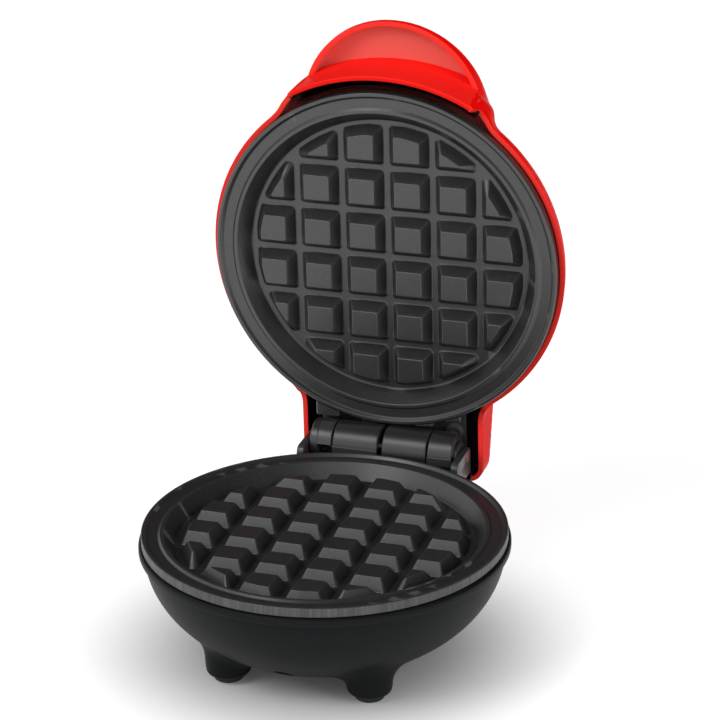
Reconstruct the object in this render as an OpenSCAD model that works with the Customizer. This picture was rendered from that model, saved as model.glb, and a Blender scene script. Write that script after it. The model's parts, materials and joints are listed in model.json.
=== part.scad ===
// Round waffle maker with a hinged lid, standing open.
// The origin is on the floor, on the axis of the lower plate. +Y is the hinge side, +Z is up.
// Lid pieces are drawn closed, over the base, and then turned open about the hinge.

/* [Waffle pattern] */
// Distance from one raised block to the next
cell_pitch = 16.6; // [16:0.1:17.5]
// Width of a block at its top
cell_top_w = 9.1; // [7:0.1:11]
// Width of a block at its foot
cell_foot_w = 14.5; // [13:0.1:15]
// Height of a block
cell_h = 4.5; // [3:0.1:5]
// Radius of the circle that cuts the outer blocks
pattern_r = 49.2; // [46:0.1:49.5]

/* [Plates] */
// Flat gutter between the blocks and the sloped wall
gutter_w = 1.7; // [1:0.1:3]
// Horizontal run of the sloped wall
well_run = 3.8; // [2:0.1:4.5]
// Depth of the well
well_h = 5.7; // [5:0.1:6]
// Width of the bead on top of the wall
bead_w = 1.1; // [0.6:0.1:1.6]
// Flat land between bead and rim
land_w = 3.4; // [2:0.1:4]
// Height of the land over the well's floor
land_h = 4.9; // [4.5:0.1:5.2]
// Width of each slope beside the land
slope_w = 0.9; // [0.5:0.1:1.2]
// Width of the outer rim
rim_w = 1.3; // [0.8:0.1:1.8]
// Height of the rim over the well's floor
rim_h = 6; // [5.8:0.1:6.6]
// Thickness of the cast plates
plate_t = 2.6; // [2:0.1:3]
// Gap between the two rims when closed
rim_gap = 0.3; // [0.2:0.1:1]

/* [Base] */
// Height of the lower plate's rim over the floor
base_h = 46; // [44:0.5:52]
// How far the lip stands out past the plate
lip_over = 1; // [0.5:0.1:2.5]
// Height of the lip
lip_h = 3; // [2:0.1:4]
// Inward step under the lip
lip_step = 1.6; // [0.8:0.1:2]
// Depth of the bowl's full curve
bowl_curve_h = 39; // [37:0.5:41]
// Radius of the flat start of the bowl's curve
bowl_flat_r = 8.1; // [4:0.1:10]
// Height of the bowl's underside over the floor
bowl_clear = 7.5; // [6:0.1:9]
// Wall of the moulded housings
wall = 2.2; // [1.8:0.1:2.6]

/* [Legs] */
// Sideways distance of the legs from the middle
leg_x = 25; // [22:0.5:28]
// Distance of the front legs in front of the middle
leg_front = 30; // [26:0.5:32]
// Distance of the rear legs behind the middle
leg_back = 42; // [36:0.5:43]
// Radius of a leg at its lower end
leg_r = 7.6; // [6:0.1:8.5]
// How much a leg widens per millimetre of height
leg_taper = 0.06; // [0.02:0.01:0.1]
// Height of a rubber pad under the leg
pad_h = 2.4; // [1.5:0.1:3]
// Radius of a rubber pad
pad_r = 5.2; // [4:0.1:5.6]

/* [Lid] */
// How far the lid rim stands out past the plate
lid_over = 1.9; // [1:0.1:3]
// Height of the upper plate's rim over the lid's lower edge
lid_reveal = 3.8; // [3:0.1:4.5]
// Straight height of the lid's edge
lid_edge_h = 1.2; // [0.8:0.1:2]
// Depth of the lid's full curve
dome_curve_h = 27; // [25:0.5:30]
// Depth at which the curve is cut flat
dome_h = 25; // [24:0.5:26]
// Angle of the open lid, from closed
open_angle = 88.2; // [70:0.1:100]

/* [Handle] */
// Radius of the handle's round front
handle_r = 32.6; // [30:0.1:34]
// Distance of that arc's centre in front of the middle
handle_centre = 51; // [49:0.5:53]
// Thickness of the handle's rim
handle_t = 1.7; // [1.4:0.1:2.4]
// Height of the handle's rim over the lid's edge
handle_lift = 10.2; // [8:0.1:12]
// Height of the handle's front edge
handle_edge_h = 4.5; // [3:0.1:6]
// Height of the finger pocket's inner end over the handle's rim
pocket_h = 5; // [4:0.1:7]
// Inner radius of the guard wall behind the finger pocket
guard_r = 68; // [67:0.1:70]
// Thickness of the guard wall
guard_t = 1.7; // [1.4:0.1:2.2]
// How far the guard wall reaches past the lid's edge
guard_drop = 5; // [3:0.1:6]
// Half the angle that the guard wall spans
guard_angle = 31; // [28:0.5:34]

/* [Hinge] */
// Distance of the hinge axis behind the middle
hinge_y = 71; // [70:0.1:73]
// Depth of the hinge axis under the parting plane
hinge_drop = 0.85; // [0:0.05:1.5]
// Radius of the knuckles
knuckle_r = 5.5; // [5:0.1:5.8]
// Half the length of the knuckle row
knuckle_half = 27; // [25:0.5:28]
// Length of an outer knuckle
outer_knuckle = 9; // [8:0.1:10]
// Gap between neighbouring knuckles
knuckle_gap = 0.5; // [0.3:0.1:0.8]
// Radius of the hinge pin
pin_r = 2; // [1.5:0.1:2.2]
// Running clearance round the pin
pin_fit = 0.06; // [0.03:0.01:0.09]
// Thickness of a cheek beside the knuckles
cheek_t = 4; // [3:0.1:4.2]
// Gap between a cheek and what moves beside it
cheek_gap = 0.5; // [0.3:0.1:0.8]
// Length of the hinge cover past the hinge axis
cover_reach = 13; // [12:0.1:15]
// Wall of the hinge cover
cover_t = 1.8; // [1.4:0.1:2.2]
// Radius of the cover's rear corners
cover_corner = 6; // [3:0.5:8]

/* [Heating] */
// Radius of the heating element's tube
element_r = 3.2; // [2.8:0.1:3.4]
// Radius of the ring that the element makes
element_ring = 34; // [32:0.5:36]
// Half the angle left open between the element's ends
element_open = 22; // [18:1:28]
// Distance of the plate's posts from the middle
post_ring = 44; // [43:0.5:45]
// Radius of a post
post_r = 3.6; // [3.2:0.1:4]
// Length of the lower plate's posts
post_low = 16; // [15:0.5:16]
// Length of the upper plate's posts
post_up = 10.4; // [10:0.2:10.6]
// Thickness of the heat reflectors
reflector_t = 0.6; // [0.4:0.1:1]
// Radius of the thermostat
thermostat_r = 7.6; // [7:0.1:8.5]
// Height of the thermostat
thermostat_h = 7; // [6:0.1:7.5]

/* [Cord entry] */
// Radius of the cord that the gland takes
cord_r = 3.2; // [2.8:0.1:3.6]
// Height of the cord's axis over the floor
cord_z = 14; // [13:0.1:15]
// Length of the gland
gland_l = 11; // [9:0.5:13]

/* [Hidden] */
$fn = 96;

// Gap between pieces, gap between seated pieces, overlap of joined shapes, and a length past everything
air = 0.3;
snug = 0.05;
bite = 1;
far = 200;
// How much a bend stands out from the straight tubes that meet in it
bend_swell = 1.04;

// Waffle pattern
cells_long = 6;
cells_short = 4;
cell_draft = (cell_foot_w - cell_top_w) / 2;

// Plate radii, from the middle outward
flange_step = 1.5;
flange_h = 4;
web_drop = 0.6;
well_r = pattern_r + gutter_w;
wall_top_r = well_r + well_run;
bead_r = wall_top_r + bead_w;
land_in_r = bead_r + slope_w;
land_out_r = land_in_r + land_w;
rim_in_r = land_out_r + slope_w;
plate_r = rim_in_r + rim_w;
skirt_z = land_h - wall;
flange_out_r = rim_in_r - flange_step;
flange_in_r = flange_out_r - wall;
under_r = well_r + plate_t;

// Heights over the floor
rim_z = base_h;
well_z = rim_z - rim_h;
parting_z = rim_z + rim_gap / 2;
upper_well_z = 2 * parting_z - well_z;
lip_z = well_z + skirt_z - air;
under_z = well_z - plate_t;
// The bowl's curve starts a little over the lip's lower edge
curve_rise = 1.4;
bowl_top_z = lip_z - lip_h + curve_rise;
leg_end_z = pad_h;

// Base housing
boss_wall = 1.5;
leg_edge = 1.6;
pad_edge = 1.2;
stem_r = 2.2;
stem_h = wall + 1;
lip_r = plate_r + lip_over;
bowl_r = lip_r - lip_step;
seat_r = flange_out_r + air;
bowl_in_z = bowl_clear + wall;
round_steps = 28;

// Lid housing
lid_z = upper_well_z - rim_h + lid_reveal;
lid_r = plate_r + lid_over;
dome_z = lid_z + lid_edge_h;
lid_step = 0.4;
dome_r = lid_r - lid_step;
dome_top_z = dome_z + dome_h;
dome_flat_r = bowl_flat_r;

// Handle and guard wall. The handle's block starts inside the lid, handle_root in front of the middle
handle_root = 20;
handle_z = lid_z + handle_lift;
handle_tip = handle_centre + handle_r;
handle_top_z = dome_top_z - lid_step;
pocket_r = guard_r + guard_t;
slot_step = 1;
slot_z = handle_z + slot_step;
bridge_t = 5;
bridge_reach = 12;
guard_end = 1.6;

// Hinge
hinge_z = parting_z - hinge_drop;
cheek_in = knuckle_half + cheek_gap;
cheek_out = cheek_in + cheek_t;
cover_in = cheek_out + cheek_gap;
cover_out = cover_in + cover_t;
cover_y = hinge_y + cover_reach;
cover_z = dome_z;
// The cover's upright end and the slope over it, and the two heights where it runs into the lid
cover_end_h = 7;
cover_bevel = 3;
cover_mid_y = 42;
cover_mid_drop = 4;
cover_root = 20;
cover_root_drop = 2;
knuckle_x = [-knuckle_half, -knuckle_half + outer_knuckle, 0, knuckle_half - outer_knuckle, knuckle_half];
sleeve_r = pin_r + boss_wall;
sleeve_l = 3;
notch_w = 5;
// Angles round the hinge, with the lid open: 0 is the front, 90 is below
notch_from = -12;
notch_to = 128;
tooth_w = 26;
tooth_drop = 0.2;
stop_gap = 4;
bracket_t = 2;
bracket_z = lid_z;
bar_z = bracket_z + bracket_t;
bar_t = 3;
bar_back = 4;
bar_cover = 2.1;
bar_front_y = plate_r - bar_cover;
bar_back_y = hinge_y + bar_back;
bracket_gap = 0.8;
bracket_cut = 3;
bracket_edge_y = hinge_y - knuckle_r - bracket_gap;
knuckle_neck = 1;
// Front edge of the base bracket's ledge, from the hinge axis, with its chamfer
ledge = -hinge_y + lip_r + air;
ledge_drop = 0.8;
ledge_edge = 0.6;
// Round nose of a cheek, from the hinge axis
nose_r = 4.2;
nose_y = -4.8;
nose_z = -3.8;
// Hinge tower, from the hinge axis
tower_front = -hinge_y + 40;
tower_top = -knuckle_r - 1.2;
tower_low = -21;
tower_foot = -14;
tower_back = 4.6;
tower_end_h = 4;
// Screws of the two brackets
base_screw_back = 4.4;
lid_screw_back = 4.6;
base_screw_bite = 2;
base_hole_l = 7;
lid_screw_bite = 5;

// Screws: shank radius, hole radius, head radius and head height
screw_r = 1.7;
screw_hole = screw_r + snug;
screw_pass = screw_r + air;
head_r = 3.2;
head_h = 1.8;

// Where the plate's posts stand
post_angles = [30, 150, 270];
clamp_angles = [210, 330];
clamp_air = 0.6;
clamp_ring = element_ring - element_r - post_r - clamp_air;
element_z = -plate_t - element_r * bend_swell - snug;
clamp_z = element_z - element_r - snug;
clamp_t = 1;
clamp_w = 8;
clamp_l = 2 * post_r + clamp_air + 2 * element_r + air;
element_pin_r = 1.2;
element_drop = 5;
element_pin_l = 3;
reflector_r = 47;
wire_gap_w = 34;
wire_gap_y = 22;
core_hole_r = 17;
// The screws that hold the lower plate come up through the bowl
seat_z = under_z - post_low - reflector_t - 2 * snug;
lower_head_z = seat_z - wall;

// Thermostat and fuse, measured from the well's floor
thermostat_z = -plate_t - snug;
strap_t = 0.8;
strap_w = 10;
strap_reach = 6;
strap_x = thermostat_r + strap_reach;
strap_z = thermostat_z - thermostat_h - snug - strap_t;
fuse_r = 2;
fuse_l = 22;
fuse_y = -15;
blade = [5, 0.8, 3];
blade_x = 4;
blade_hole_r = blade_x + blade[0] / 2;

// Cord entry
gland_wall = 1.6;
gland_flange = 1.4;
gland_lip = 1.5;
gland_r = cord_r + gland_wall;
gland_lip_r = gland_r + gland_flange;
gland_y = bowl_radius(cord_z + gland_lip_r + bite) + gland_lip;
gland_in_y = gland_y - gland_l;
// Boss round the gland, closed at its inner end but for the cord's way into the bowl
gland_boss_r = gland_lip_r + snug;
gland_boss_l = 6;
grip_y = 34;
grip_x = cord_r + 5;
grip_t = 2.2;
grip_w = 7;
grip_air = 0.2;
grip_z = cord_z + cord_r + grip_air;
grip_screw_l = 4;

// Terminal block: size, place, ears and the taps that take the wires
block = [32, 14, 7];
block_y = 4;
block_post_r = 3.6;
block_post_x = block[0] / 2 + block_post_r;
ear_t = 1.6;
ear_screw_l = 3;
wire_r = 1.1;
tap_r = wire_r + 0.6;
tap_l = 6;
tap_x = 9.4;
tap_h = 2.8;
// Where wires start and end
tap_z = bowl_in_z + snug + tap_h;
tap_back = block_y + block[1] / 2 - 2;
tap_front = block_y - block[1] / 2 + 2;
pin_end = [element_ring * sin(element_open), element_ring * cos(element_open),
    well_z + element_z - element_drop - element_pin_l];
blade_z = well_z + thermostat_z - thermostat_h - blade[2];
fuse_z = under_z - fuse_r - snug;

// Indicator
lens_y = -20;
lens_r = 2.8;
lens_lip = 1;
lens_lip_h = 0.8;
lens_drop = 2;
lamp_l = 5.2;

// Outer radius of the bowl at a height over the floor
function bowl_radius(z) =
    bowl_flat_r + (bowl_r - bowl_flat_r) * sqrt(1 - pow((bowl_top_z - z) / bowl_curve_h, 2));

// Outline of a curved shell from its wide end down to a flat, as [radius, depth] points
function shell_curve(rim, flat, depth, cut) =
    let (last = asin(cut / depth))
    [for (i = [0:round_steps])
        let (a = last * i / round_steps) [flat + (rim - flat) * cos(a), depth * sin(a)]];

module at_hinge() {
    translate([0, hinge_y, hinge_z]) children();
}

// Turns a piece of the closed lid to the open place
module opened() {
    at_hinge() rotate([-open_angle, 0, 0]) translate([0, -hinge_y, -hinge_z]) children();
}

// Puts a piece drawn for the lower plate on the upper plate, with the lid closed
module flipped() {
    translate([0, 0, upper_well_z]) mirror([0, 0, 1]) children();
}

module on_base() {
    translate([0, 0, well_z]) children();
}

module around(angles, ring) {
    for (a = angles) rotate(a) translate([ring, 0, 0]) children();
}

module leg_places() {
    for (x = [-leg_x, leg_x], y = [-leg_front, leg_back]) translate([x, y, 0]) children();
}

// A rod along X between two positions
module rod_x(x1, x2, r) {
    translate([x1, 0, 0]) rotate([0, 90, 0]) cylinder(r = r, h = x2 - x1);
}

// An outline in the Y-Z plane, extruded from x1 to x2
module side_outline(x1, x2) {
    translate([x1, 0, 0]) rotate([90, 0, 90]) linear_extrude(x2 - x1) children();
}

module wedge_2d(from, to) {
    middle = (from + to) / 2;
    polygon(concat([[0, 0]], [for (a = [from, middle, to]) far * [cos(a), sin(a)]]));
}

// A pan-head screw, head at z = 0 and shank upward
module screw(length) {
    cylinder(r = head_r, h = head_h);
    translate([0, 0, head_h]) cylinder(r = screw_r, h = length);
}

module wire(route, r = wire_r) {
    for (i = [0:len(route) - 2]) {
        step = route[i + 1] - route[i];
        span = norm(step);
        translate(route[i]) rotate([0, acos(step[2] / span), atan2(step[1], step[0])])
            cylinder(r = r, h = span, $fn = 24);
    }
    for (i = [1:1:len(route) - 2]) translate(route[i]) sphere(r = r * bend_swell, $fn = 24);
}

// ---- Plates ----

module cell_comb() {
    rotate([90, 0, 0]) linear_extrude(2 * plate_r, center = true)
        for (i = [0:cells_long - 1]) {
            c = (i - (cells_long - 1) / 2) * cell_pitch;
            polygon([[c - cell_foot_w / 2, -bite], [c + cell_foot_w / 2, -bite], [c + cell_foot_w / 2, 0],
                [c + cell_top_w / 2, cell_h], [c - cell_top_w / 2, cell_h], [c - cell_foot_w / 2, 0]]);
        }
}

module cell_field() {
    for (size = [[cells_long, cells_short], [cells_short, cells_long]])
        translate([-size[0] * cell_pitch / 2, -size[1] * cell_pitch / 2, -bite])
            cube([size[0] * cell_pitch, size[1] * cell_pitch, 2 * cell_h + bite]);
}

module cells() {
    intersection() {
        cell_comb();
        rotate(90) cell_comb();
        union() {
            cylinder(r1 = pattern_r, r2 = pattern_r - cell_draft, h = cell_h);
            translate([0, 0, -bite]) cylinder(r = pattern_r, h = bite);
        }
        cell_field();
    }
}

// A plate with its well's floor at z = 0 and its posts downward
module plate(post_l) {
    difference() {
        union() {
            rotate_extrude() polygon([[0, 0], [well_r, 0], [wall_top_r, well_h], [bead_r, well_h],
                [land_in_r, land_h], [land_out_r, land_h], [rim_in_r, rim_h], [plate_r, rim_h],
                [plate_r, skirt_z], [flange_out_r, skirt_z], [flange_out_r, skirt_z - flange_h],
                [flange_in_r, skirt_z - flange_h], [flange_in_r, skirt_z - web_drop],
                [under_r, -plate_t], [0, -plate_t]]);
            cells();
            around(post_angles, post_ring) translate([0, 0, -plate_t - post_l])
                cylinder(r = post_r, h = post_l + bite);
            around(clamp_angles, clamp_ring) translate([0, 0, clamp_z])
                cylinder(r = post_r, h = -plate_t - clamp_z + bite);
        }
        around(post_angles, post_ring) translate([0, 0, -plate_t - post_l - bite])
            cylinder(r = screw_hole, h = post_l + bite);
        around(clamp_angles, clamp_ring) translate([0, 0, clamp_z - bite])
            cylinder(r = screw_hole, h = element_r * 2 + bite);
    }
}

module thermostat_bosses() {
    for (x = [-strap_x, strap_x]) translate([x, 0, thermostat_z - thermostat_h]) difference() {
        cylinder(r = post_r, h = thermostat_h + bite);
        translate([0, 0, -bite]) cylinder(r = screw_hole, h = thermostat_h + bite);
    }
}

module lower_plate() {
    color([0.13, 0.13, 0.14]) on_base() {
        plate(post_low);
        thermostat_bosses();
    }
}

module upper_plate() {
    color([0.13, 0.13, 0.14]) opened() flipped() plate(post_up);
}

// ---- Heating ----

module element() {
    end_a = 90 + element_open;
    translate([0, 0, element_z]) {
        rotate(end_a) rotate_extrude(angle = 360 - 2 * element_open)
            translate([element_ring, 0]) circle(r = element_r, $fn = 48);
        for (a = [90 - element_open, end_a]) rotate(a) translate([element_ring, 0, 0]) {
            sphere(r = element_r * bend_swell);
            translate([0, 0, -element_drop]) cylinder(r = element_r, h = element_drop);
            translate([0, 0, -element_drop - element_pin_l])
                cylinder(r = element_pin_r, h = element_pin_l + bite);
        }
    }
}

module lower_element() {
    color([0.42, 0.4, 0.38]) on_base() element();
}

module upper_element() {
    color([0.42, 0.4, 0.38]) opened() flipped() element();
}

module element_clamps() {
    around(clamp_angles, clamp_ring)
        translate([-post_r, -clamp_w / 2, clamp_z - clamp_t - snug]) difference() {
        cube([clamp_l, clamp_w, clamp_t]);
        translate([post_r, clamp_w / 2, -bite]) cylinder(r = screw_pass, h = clamp_t + 2 * bite);
    }
}

module clamp_screws() {
    around(clamp_angles, clamp_ring) translate([0, 0, clamp_z - clamp_t - head_h - 2 * snug])
        screw(element_r * 2);
}

module lower_element_clamps() {
    color([0.7, 0.7, 0.72]) on_base() element_clamps();
}

module upper_element_clamps() {
    color([0.7, 0.7, 0.72]) opened() flipped() element_clamps();
}

module lower_clamp_screws() {
    color([0.75, 0.75, 0.77]) on_base() clamp_screws();
}

module upper_clamp_screws() {
    color([0.75, 0.75, 0.77]) opened() flipped() clamp_screws();
}

// A reflector whose upper face meets the ends of the posts
module reflector(post_l) {
    translate([0, 0, -plate_t - post_l - snug - reflector_t]) difference() {
        cylinder(r = reflector_r, h = reflector_t);
        translate([0, 0, -bite]) cylinder(r = core_hole_r, h = reflector_t + 2 * bite);
        around(post_angles, post_ring - bite) translate([bite, 0, -bite])
            cylinder(r = screw_pass, h = reflector_t + 2 * bite);
        translate([-wire_gap_w / 2, wire_gap_y, -bite]) cube([wire_gap_w, far, reflector_t + 2 * bite]);
    }
}

module lower_reflector() {
    color([0.8, 0.8, 0.82]) on_base() reflector(post_low);
}

module upper_reflector() {
    color([0.8, 0.8, 0.82]) opened() flipped() reflector(post_up);
}

module lower_plate_screws() {
    color([0.75, 0.75, 0.77]) around(post_angles, post_ring)
        translate([0, 0, lower_head_z - head_h]) screw(seat_z - lower_head_z + post_low - bite);
}

module upper_plate_screws() {
    color([0.75, 0.75, 0.77]) opened() flipped() around(post_angles, post_ring)
        translate([0, 0, -plate_t - post_up - reflector_t - 2 * snug - head_h]) screw(post_up - bite);
}

module thermostat() {
    color([0.15, 0.15, 0.16]) on_base() {
        translate([0, 0, thermostat_z - thermostat_h]) cylinder(r = thermostat_r, h = thermostat_h);
        for (x = [-blade_x, blade_x])
            translate([x - blade[1] / 2, -blade[0] / 2, thermostat_z - thermostat_h - blade[2]])
                cube([blade[1], blade[0], blade[2] + bite]);
    }
}

module thermostat_bracket() {
    color([0.7, 0.7, 0.72]) on_base() translate([0, 0, strap_z]) difference() {
        union() {
            translate([-strap_x, -strap_w / 2, 0]) cube([2 * strap_x, strap_w, strap_t]);
            for (x = [-strap_x, strap_x]) translate([x, 0, 0]) cylinder(r = strap_w / 2, h = strap_t);
            cylinder(r = thermostat_r, h = strap_t);
        }
        translate([0, 0, -bite]) cylinder(r = blade_hole_r, h = strap_t + 2 * bite);
        for (x = [-strap_x, strap_x]) translate([x, 0, -bite])
            cylinder(r = screw_pass, h = strap_t + 2 * bite);
    }
}

module thermostat_screws() {
    color([0.75, 0.75, 0.77]) on_base() for (x = [-strap_x, strap_x])
        translate([x, 0, strap_z - head_h - snug]) screw(thermostat_h - bite);
}

module thermal_fuse() {
    color([0.85, 0.84, 0.78]) on_base()
        translate([0, fuse_y, -plate_t - fuse_r - snug]) rod_x(-fuse_l / 2, fuse_l / 2, fuse_r);
}

// ---- Base housing ----

module bowl_outside() {
    rotate_extrude() polygon(concat(
        [[0, lip_z], [lip_r, lip_z], [lip_r, lip_z - lip_h]],
        [for (p = shell_curve(bowl_r, bowl_flat_r, bowl_curve_h, bowl_top_z - bowl_clear))
            if (bowl_top_z - p[1] <= lip_z - lip_h) [p[0], bowl_top_z - p[1]]],
        [[0, bowl_clear]]));
}

module bowl_inside() {
    rotate_extrude() polygon(concat(
        [[0, lip_z + bite], [seat_r, lip_z + bite], [seat_r, bowl_top_z - wall]],
        [for (p = shell_curve(bowl_r - wall, bowl_flat_r, bowl_curve_h - wall, bowl_top_z - bowl_in_z))
            if (p[1] > 2 * wall) [p[0], bowl_top_z - p[1]]],
        [[0, bowl_in_z]]));
}

// A leg, wider towards the bowl, with a rounded lower edge
module leg() {
    top = bowl_top_z - wall - leg_end_z;
    translate([0, 0, leg_end_z]) rotate_extrude() polygon(concat(
        [[0, 0]],
        [for (a = [0:15:90]) [leg_r - leg_edge + leg_edge * sin(a), leg_edge - leg_edge * cos(a)]],
        [[leg_r + top * leg_taper, top], [0, top]]));
}

// Side outline of a cheek: round about the pin, lower and round in front of it
module cheek_2d() {
    drop = norm([nose_y, nose_z]);
    lean = atan2(nose_z, nose_y);
    tilt = acos((knuckle_r - nose_r) / drop);
    up = lean - tilt;
    down = lean + tilt;
    circle(r = knuckle_r);
    translate([nose_y, nose_z]) circle(r = nose_r);
    polygon([knuckle_r * [cos(up), sin(up)], [nose_y, nose_z] + nose_r * [cos(up), sin(up)],
        [nose_y, nose_z] + nose_r * [cos(down), sin(down)], knuckle_r * [cos(down), sin(down)]]);
    polygon([[nose_y - nose_r, nose_z], [nose_y - nose_r, tower_top], [knuckle_r, tower_top],
        [knuckle_r, 0], [0, 0]]);
}

module tower_2d() {
    polygon([[tower_front, tower_top], [tower_back, tower_top], [tower_back, tower_top - tower_end_h],
        [tower_foot, tower_low], [tower_front, tower_low]]);
}

module tower() {
    at_hinge() {
        side_outline(-cheek_out, cheek_out) tower_2d();
        for (x = [-cheek_out, cheek_in]) side_outline(x, x + cheek_t) cheek_2d();
    }
}

module tower_hollow() {
    floor_z = tower_low + wall + bite;
    at_hinge() side_outline(-cheek_in + wall, cheek_in - wall) polygon([[tower_front - wall, tower_top - wall],
        [tower_back - wall, tower_top - wall], [tower_back - wall, tower_top - tower_end_h + bite],
        [tower_foot, floor_z], [tower_front - wall, floor_z]]);
}

module lower_housing() {
    color([0.09, 0.1, 0.105]) difference() {
        union() {
            difference() {
                union() {
                    bowl_outside();
                    leg_places() leg();
                    translate([0, gland_in_y - gland_boss_l, cord_z]) rotate([-90, 0, 0])
                        cylinder(r = gland_boss_r, h = gland_boss_l + gland_l - gland_lip);
                    difference() {
                        tower();
                        translate([0, 0, lip_z - air]) cylinder(r = plate_r + air, h = far);
                        cylinder(r = seat_r, h = far);
                    }
                }
                bowl_inside();
                tower_hollow();
            }
            intersection() {
                union() {
                    around(post_angles, post_ring) cylinder(r = post_r + boss_wall, h = seat_z);
                    for (x = [-grip_x, grip_x]) translate([x, grip_y, 0])
                        cylinder(r = screw_r + boss_wall, h = grip_z);
                    for (x = [-1, 1]) translate([x * block_post_x, block_y, 0])
                        cylinder(r = block_post_r, h = bowl_in_z + block[2] / 2);
                }
                bowl_outside();
            }
        }
        around(post_angles, post_ring) {
            cylinder(r = head_r + air, h = lower_head_z);
            cylinder(r = screw_pass, h = far);
        }
        leg_places() {
            translate([0, 0, leg_end_z + wall]) cylinder(r = leg_r - wall, h = bowl_in_z - leg_end_z);
            cylinder(r = stem_r + snug, h = bowl_in_z);
        }
        for (x = [-grip_x, grip_x]) translate([x, grip_y, bowl_in_z]) cylinder(r = screw_hole, h = far);
        for (x = [-1, 1]) translate([x * block_post_x, block_y, bowl_in_z])
            cylinder(r = screw_hole, h = far);
        translate([0, gland_in_y, cord_z]) rotate([-90, 0, 0]) cylinder(r = gland_r + snug, h = far);
        translate([0, grip_y, cord_z]) rotate([-90, 0, 0]) cylinder(r = cord_r + air, h = far);
        base_hinge_holes() cylinder(r = screw_pass, h = 3 * wall, center = true);
        at_hinge() rod_x(-cheek_out + wall / 2, cheek_out - wall / 2, pin_r + pin_fit);
    }
}

module foot_pads() {
    color([0.06, 0.06, 0.065]) leg_places() {
        rotate_extrude() polygon(concat([[0, 0]],
            [for (a = [0:15:90]) [pad_r - pad_edge + pad_edge * sin(a), pad_edge - pad_edge * cos(a)]],
            [[pad_r, pad_h], [0, pad_h]]));
        cylinder(r = stem_r, h = pad_h + stem_h);
    }
}

// ---- Cord entry and wiring ----

module cord_gland() {
    color([0.05, 0.05, 0.05]) translate([0, gland_in_y, cord_z]) rotate([-90, 0, 0]) difference() {
        union() {
            cylinder(r = gland_r, h = gland_l);
            translate([0, 0, gland_l - gland_lip + snug]) cylinder(r = gland_lip_r, h = gland_lip);
        }
        translate([0, 0, -bite]) cylinder(r = cord_r, h = gland_l + 2 * bite);
    }
}

module cord_clamp() {
    color([0.85, 0.85, 0.82]) translate([0, grip_y, grip_z + snug]) difference() {
        union() {
            translate([-grip_x, -grip_w / 2, 0]) cube([2 * grip_x, grip_w, grip_t]);
            for (x = [-grip_x, grip_x]) translate([x, 0, 0]) cylinder(r = grip_w / 2, h = grip_t);
        }
        for (x = [-grip_x, grip_x]) translate([x, 0, -bite]) cylinder(r = screw_pass, h = grip_t + 2 * bite);
    }
}

module cord_clamp_screws() {
    color([0.75, 0.75, 0.77]) for (x = [-grip_x, grip_x])
        translate([x, grip_y, grip_z + grip_t + head_h + 2 * snug])
            mirror([0, 0, 1]) screw(grip_t + grip_screw_l);
}

module terminal_block() {
    color([0.9, 0.89, 0.84]) translate([0, block_y, bowl_in_z + snug]) difference() {
        union() {
            translate([-block[0] / 2, -block[1] / 2, 0]) cube(block);
            for (x = [-1, 1]) translate([x * block[0] / 2 - (x < 0 ? 2 * block_post_r : 0), -block_post_r,
                block[2] / 2]) cube([2 * block_post_r, 2 * block_post_r, ear_t]);
        }
        for (x = [-1, 1]) translate([x * block_post_x, 0, 0]) cylinder(r = screw_pass, h = far);
        for (x = [-1:1], side = [-1, 1]) translate([x * tap_x, side * block[1] / 2, tap_h])
            rotate([90, 0, 0]) cylinder(r = tap_r, h = tap_l, center = true, $fn = 24);
    }
}

module terminal_block_screws() {
    color([0.75, 0.75, 0.77]) for (x = [-1, 1])
        translate([x * block_post_x, block_y, bowl_in_z + block[2] / 2 + ear_t + head_h + 2 * snug])
            mirror([0, 0, 1]) screw(ear_t + ear_screw_l);
}

module live_wires() {
    color([0.55, 0.12, 0.08]) {
        wire([[tap_x, tap_back, tap_z], [tap_x, 20, tap_z], [tap_x + 3, 26, pin_end[2] - 4],
            [pin_end[0], pin_end[1], pin_end[2] - 3], pin_end - [0, 0, snug]]);
        wire([[-tap_x, tap_front, tap_z], [-tap_x, -8, tap_z], [-blade_x, 0, blade_z - 4],
            [-blade_x, 0, blade_z - snug]]);
        wire([[blade_x, 0, blade_z - snug], [blade_x, 0, blade_z - 3], [11.5, -12.5, blade_z - 3],
            [fuse_l / 2 + 3, fuse_y, fuse_z], [fuse_l / 2 + snug, fuse_y, fuse_z]]);
    }
}

module neutral_wires() {
    color([0.1, 0.16, 0.5]) {
        wire([[-tap_x, tap_back, tap_z], [-tap_x, 23, tap_z], [-pin_end[0], pin_end[1], tap_z + 3],
            [-pin_end[0], pin_end[1], pin_end[2] - snug]]);
    }
}

module earth_wire() {
    color([0.35, 0.6, 0.1]) wire([[0, tap_front, tap_z], [0, -10, tap_z], [0, -24, tap_z + 2],
        [0, -28, seat_z - 2]]);
}

// ---- Hinge ----

module pin_bore() {
    rod_x(-far / 2, far / 2, pin_r + pin_fit);
}

// A wedge round the hinge axis, with 0 at the front and 90 below
module hinge_wedge(x1, x2, from, to) {
    side_outline(x1, x2) mirror([1, 0, 0]) mirror([0, 1, 0]) wedge_2d(from, to);
}

module hinge_pin() {
    color([0.72, 0.72, 0.74]) at_hinge() rod_x(-cheek_out + wall / 2 + air, cheek_out - wall / 2 - air, pin_r);
}

module base_hinge_holes() {
    for (x = [(knuckle_x[1] + knuckle_x[2]) / 2, (knuckle_x[3] + knuckle_x[4]) / 2 - bite])
        translate([x, hinge_y - base_screw_back, hinge_z + tower_top]) children();
}

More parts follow.
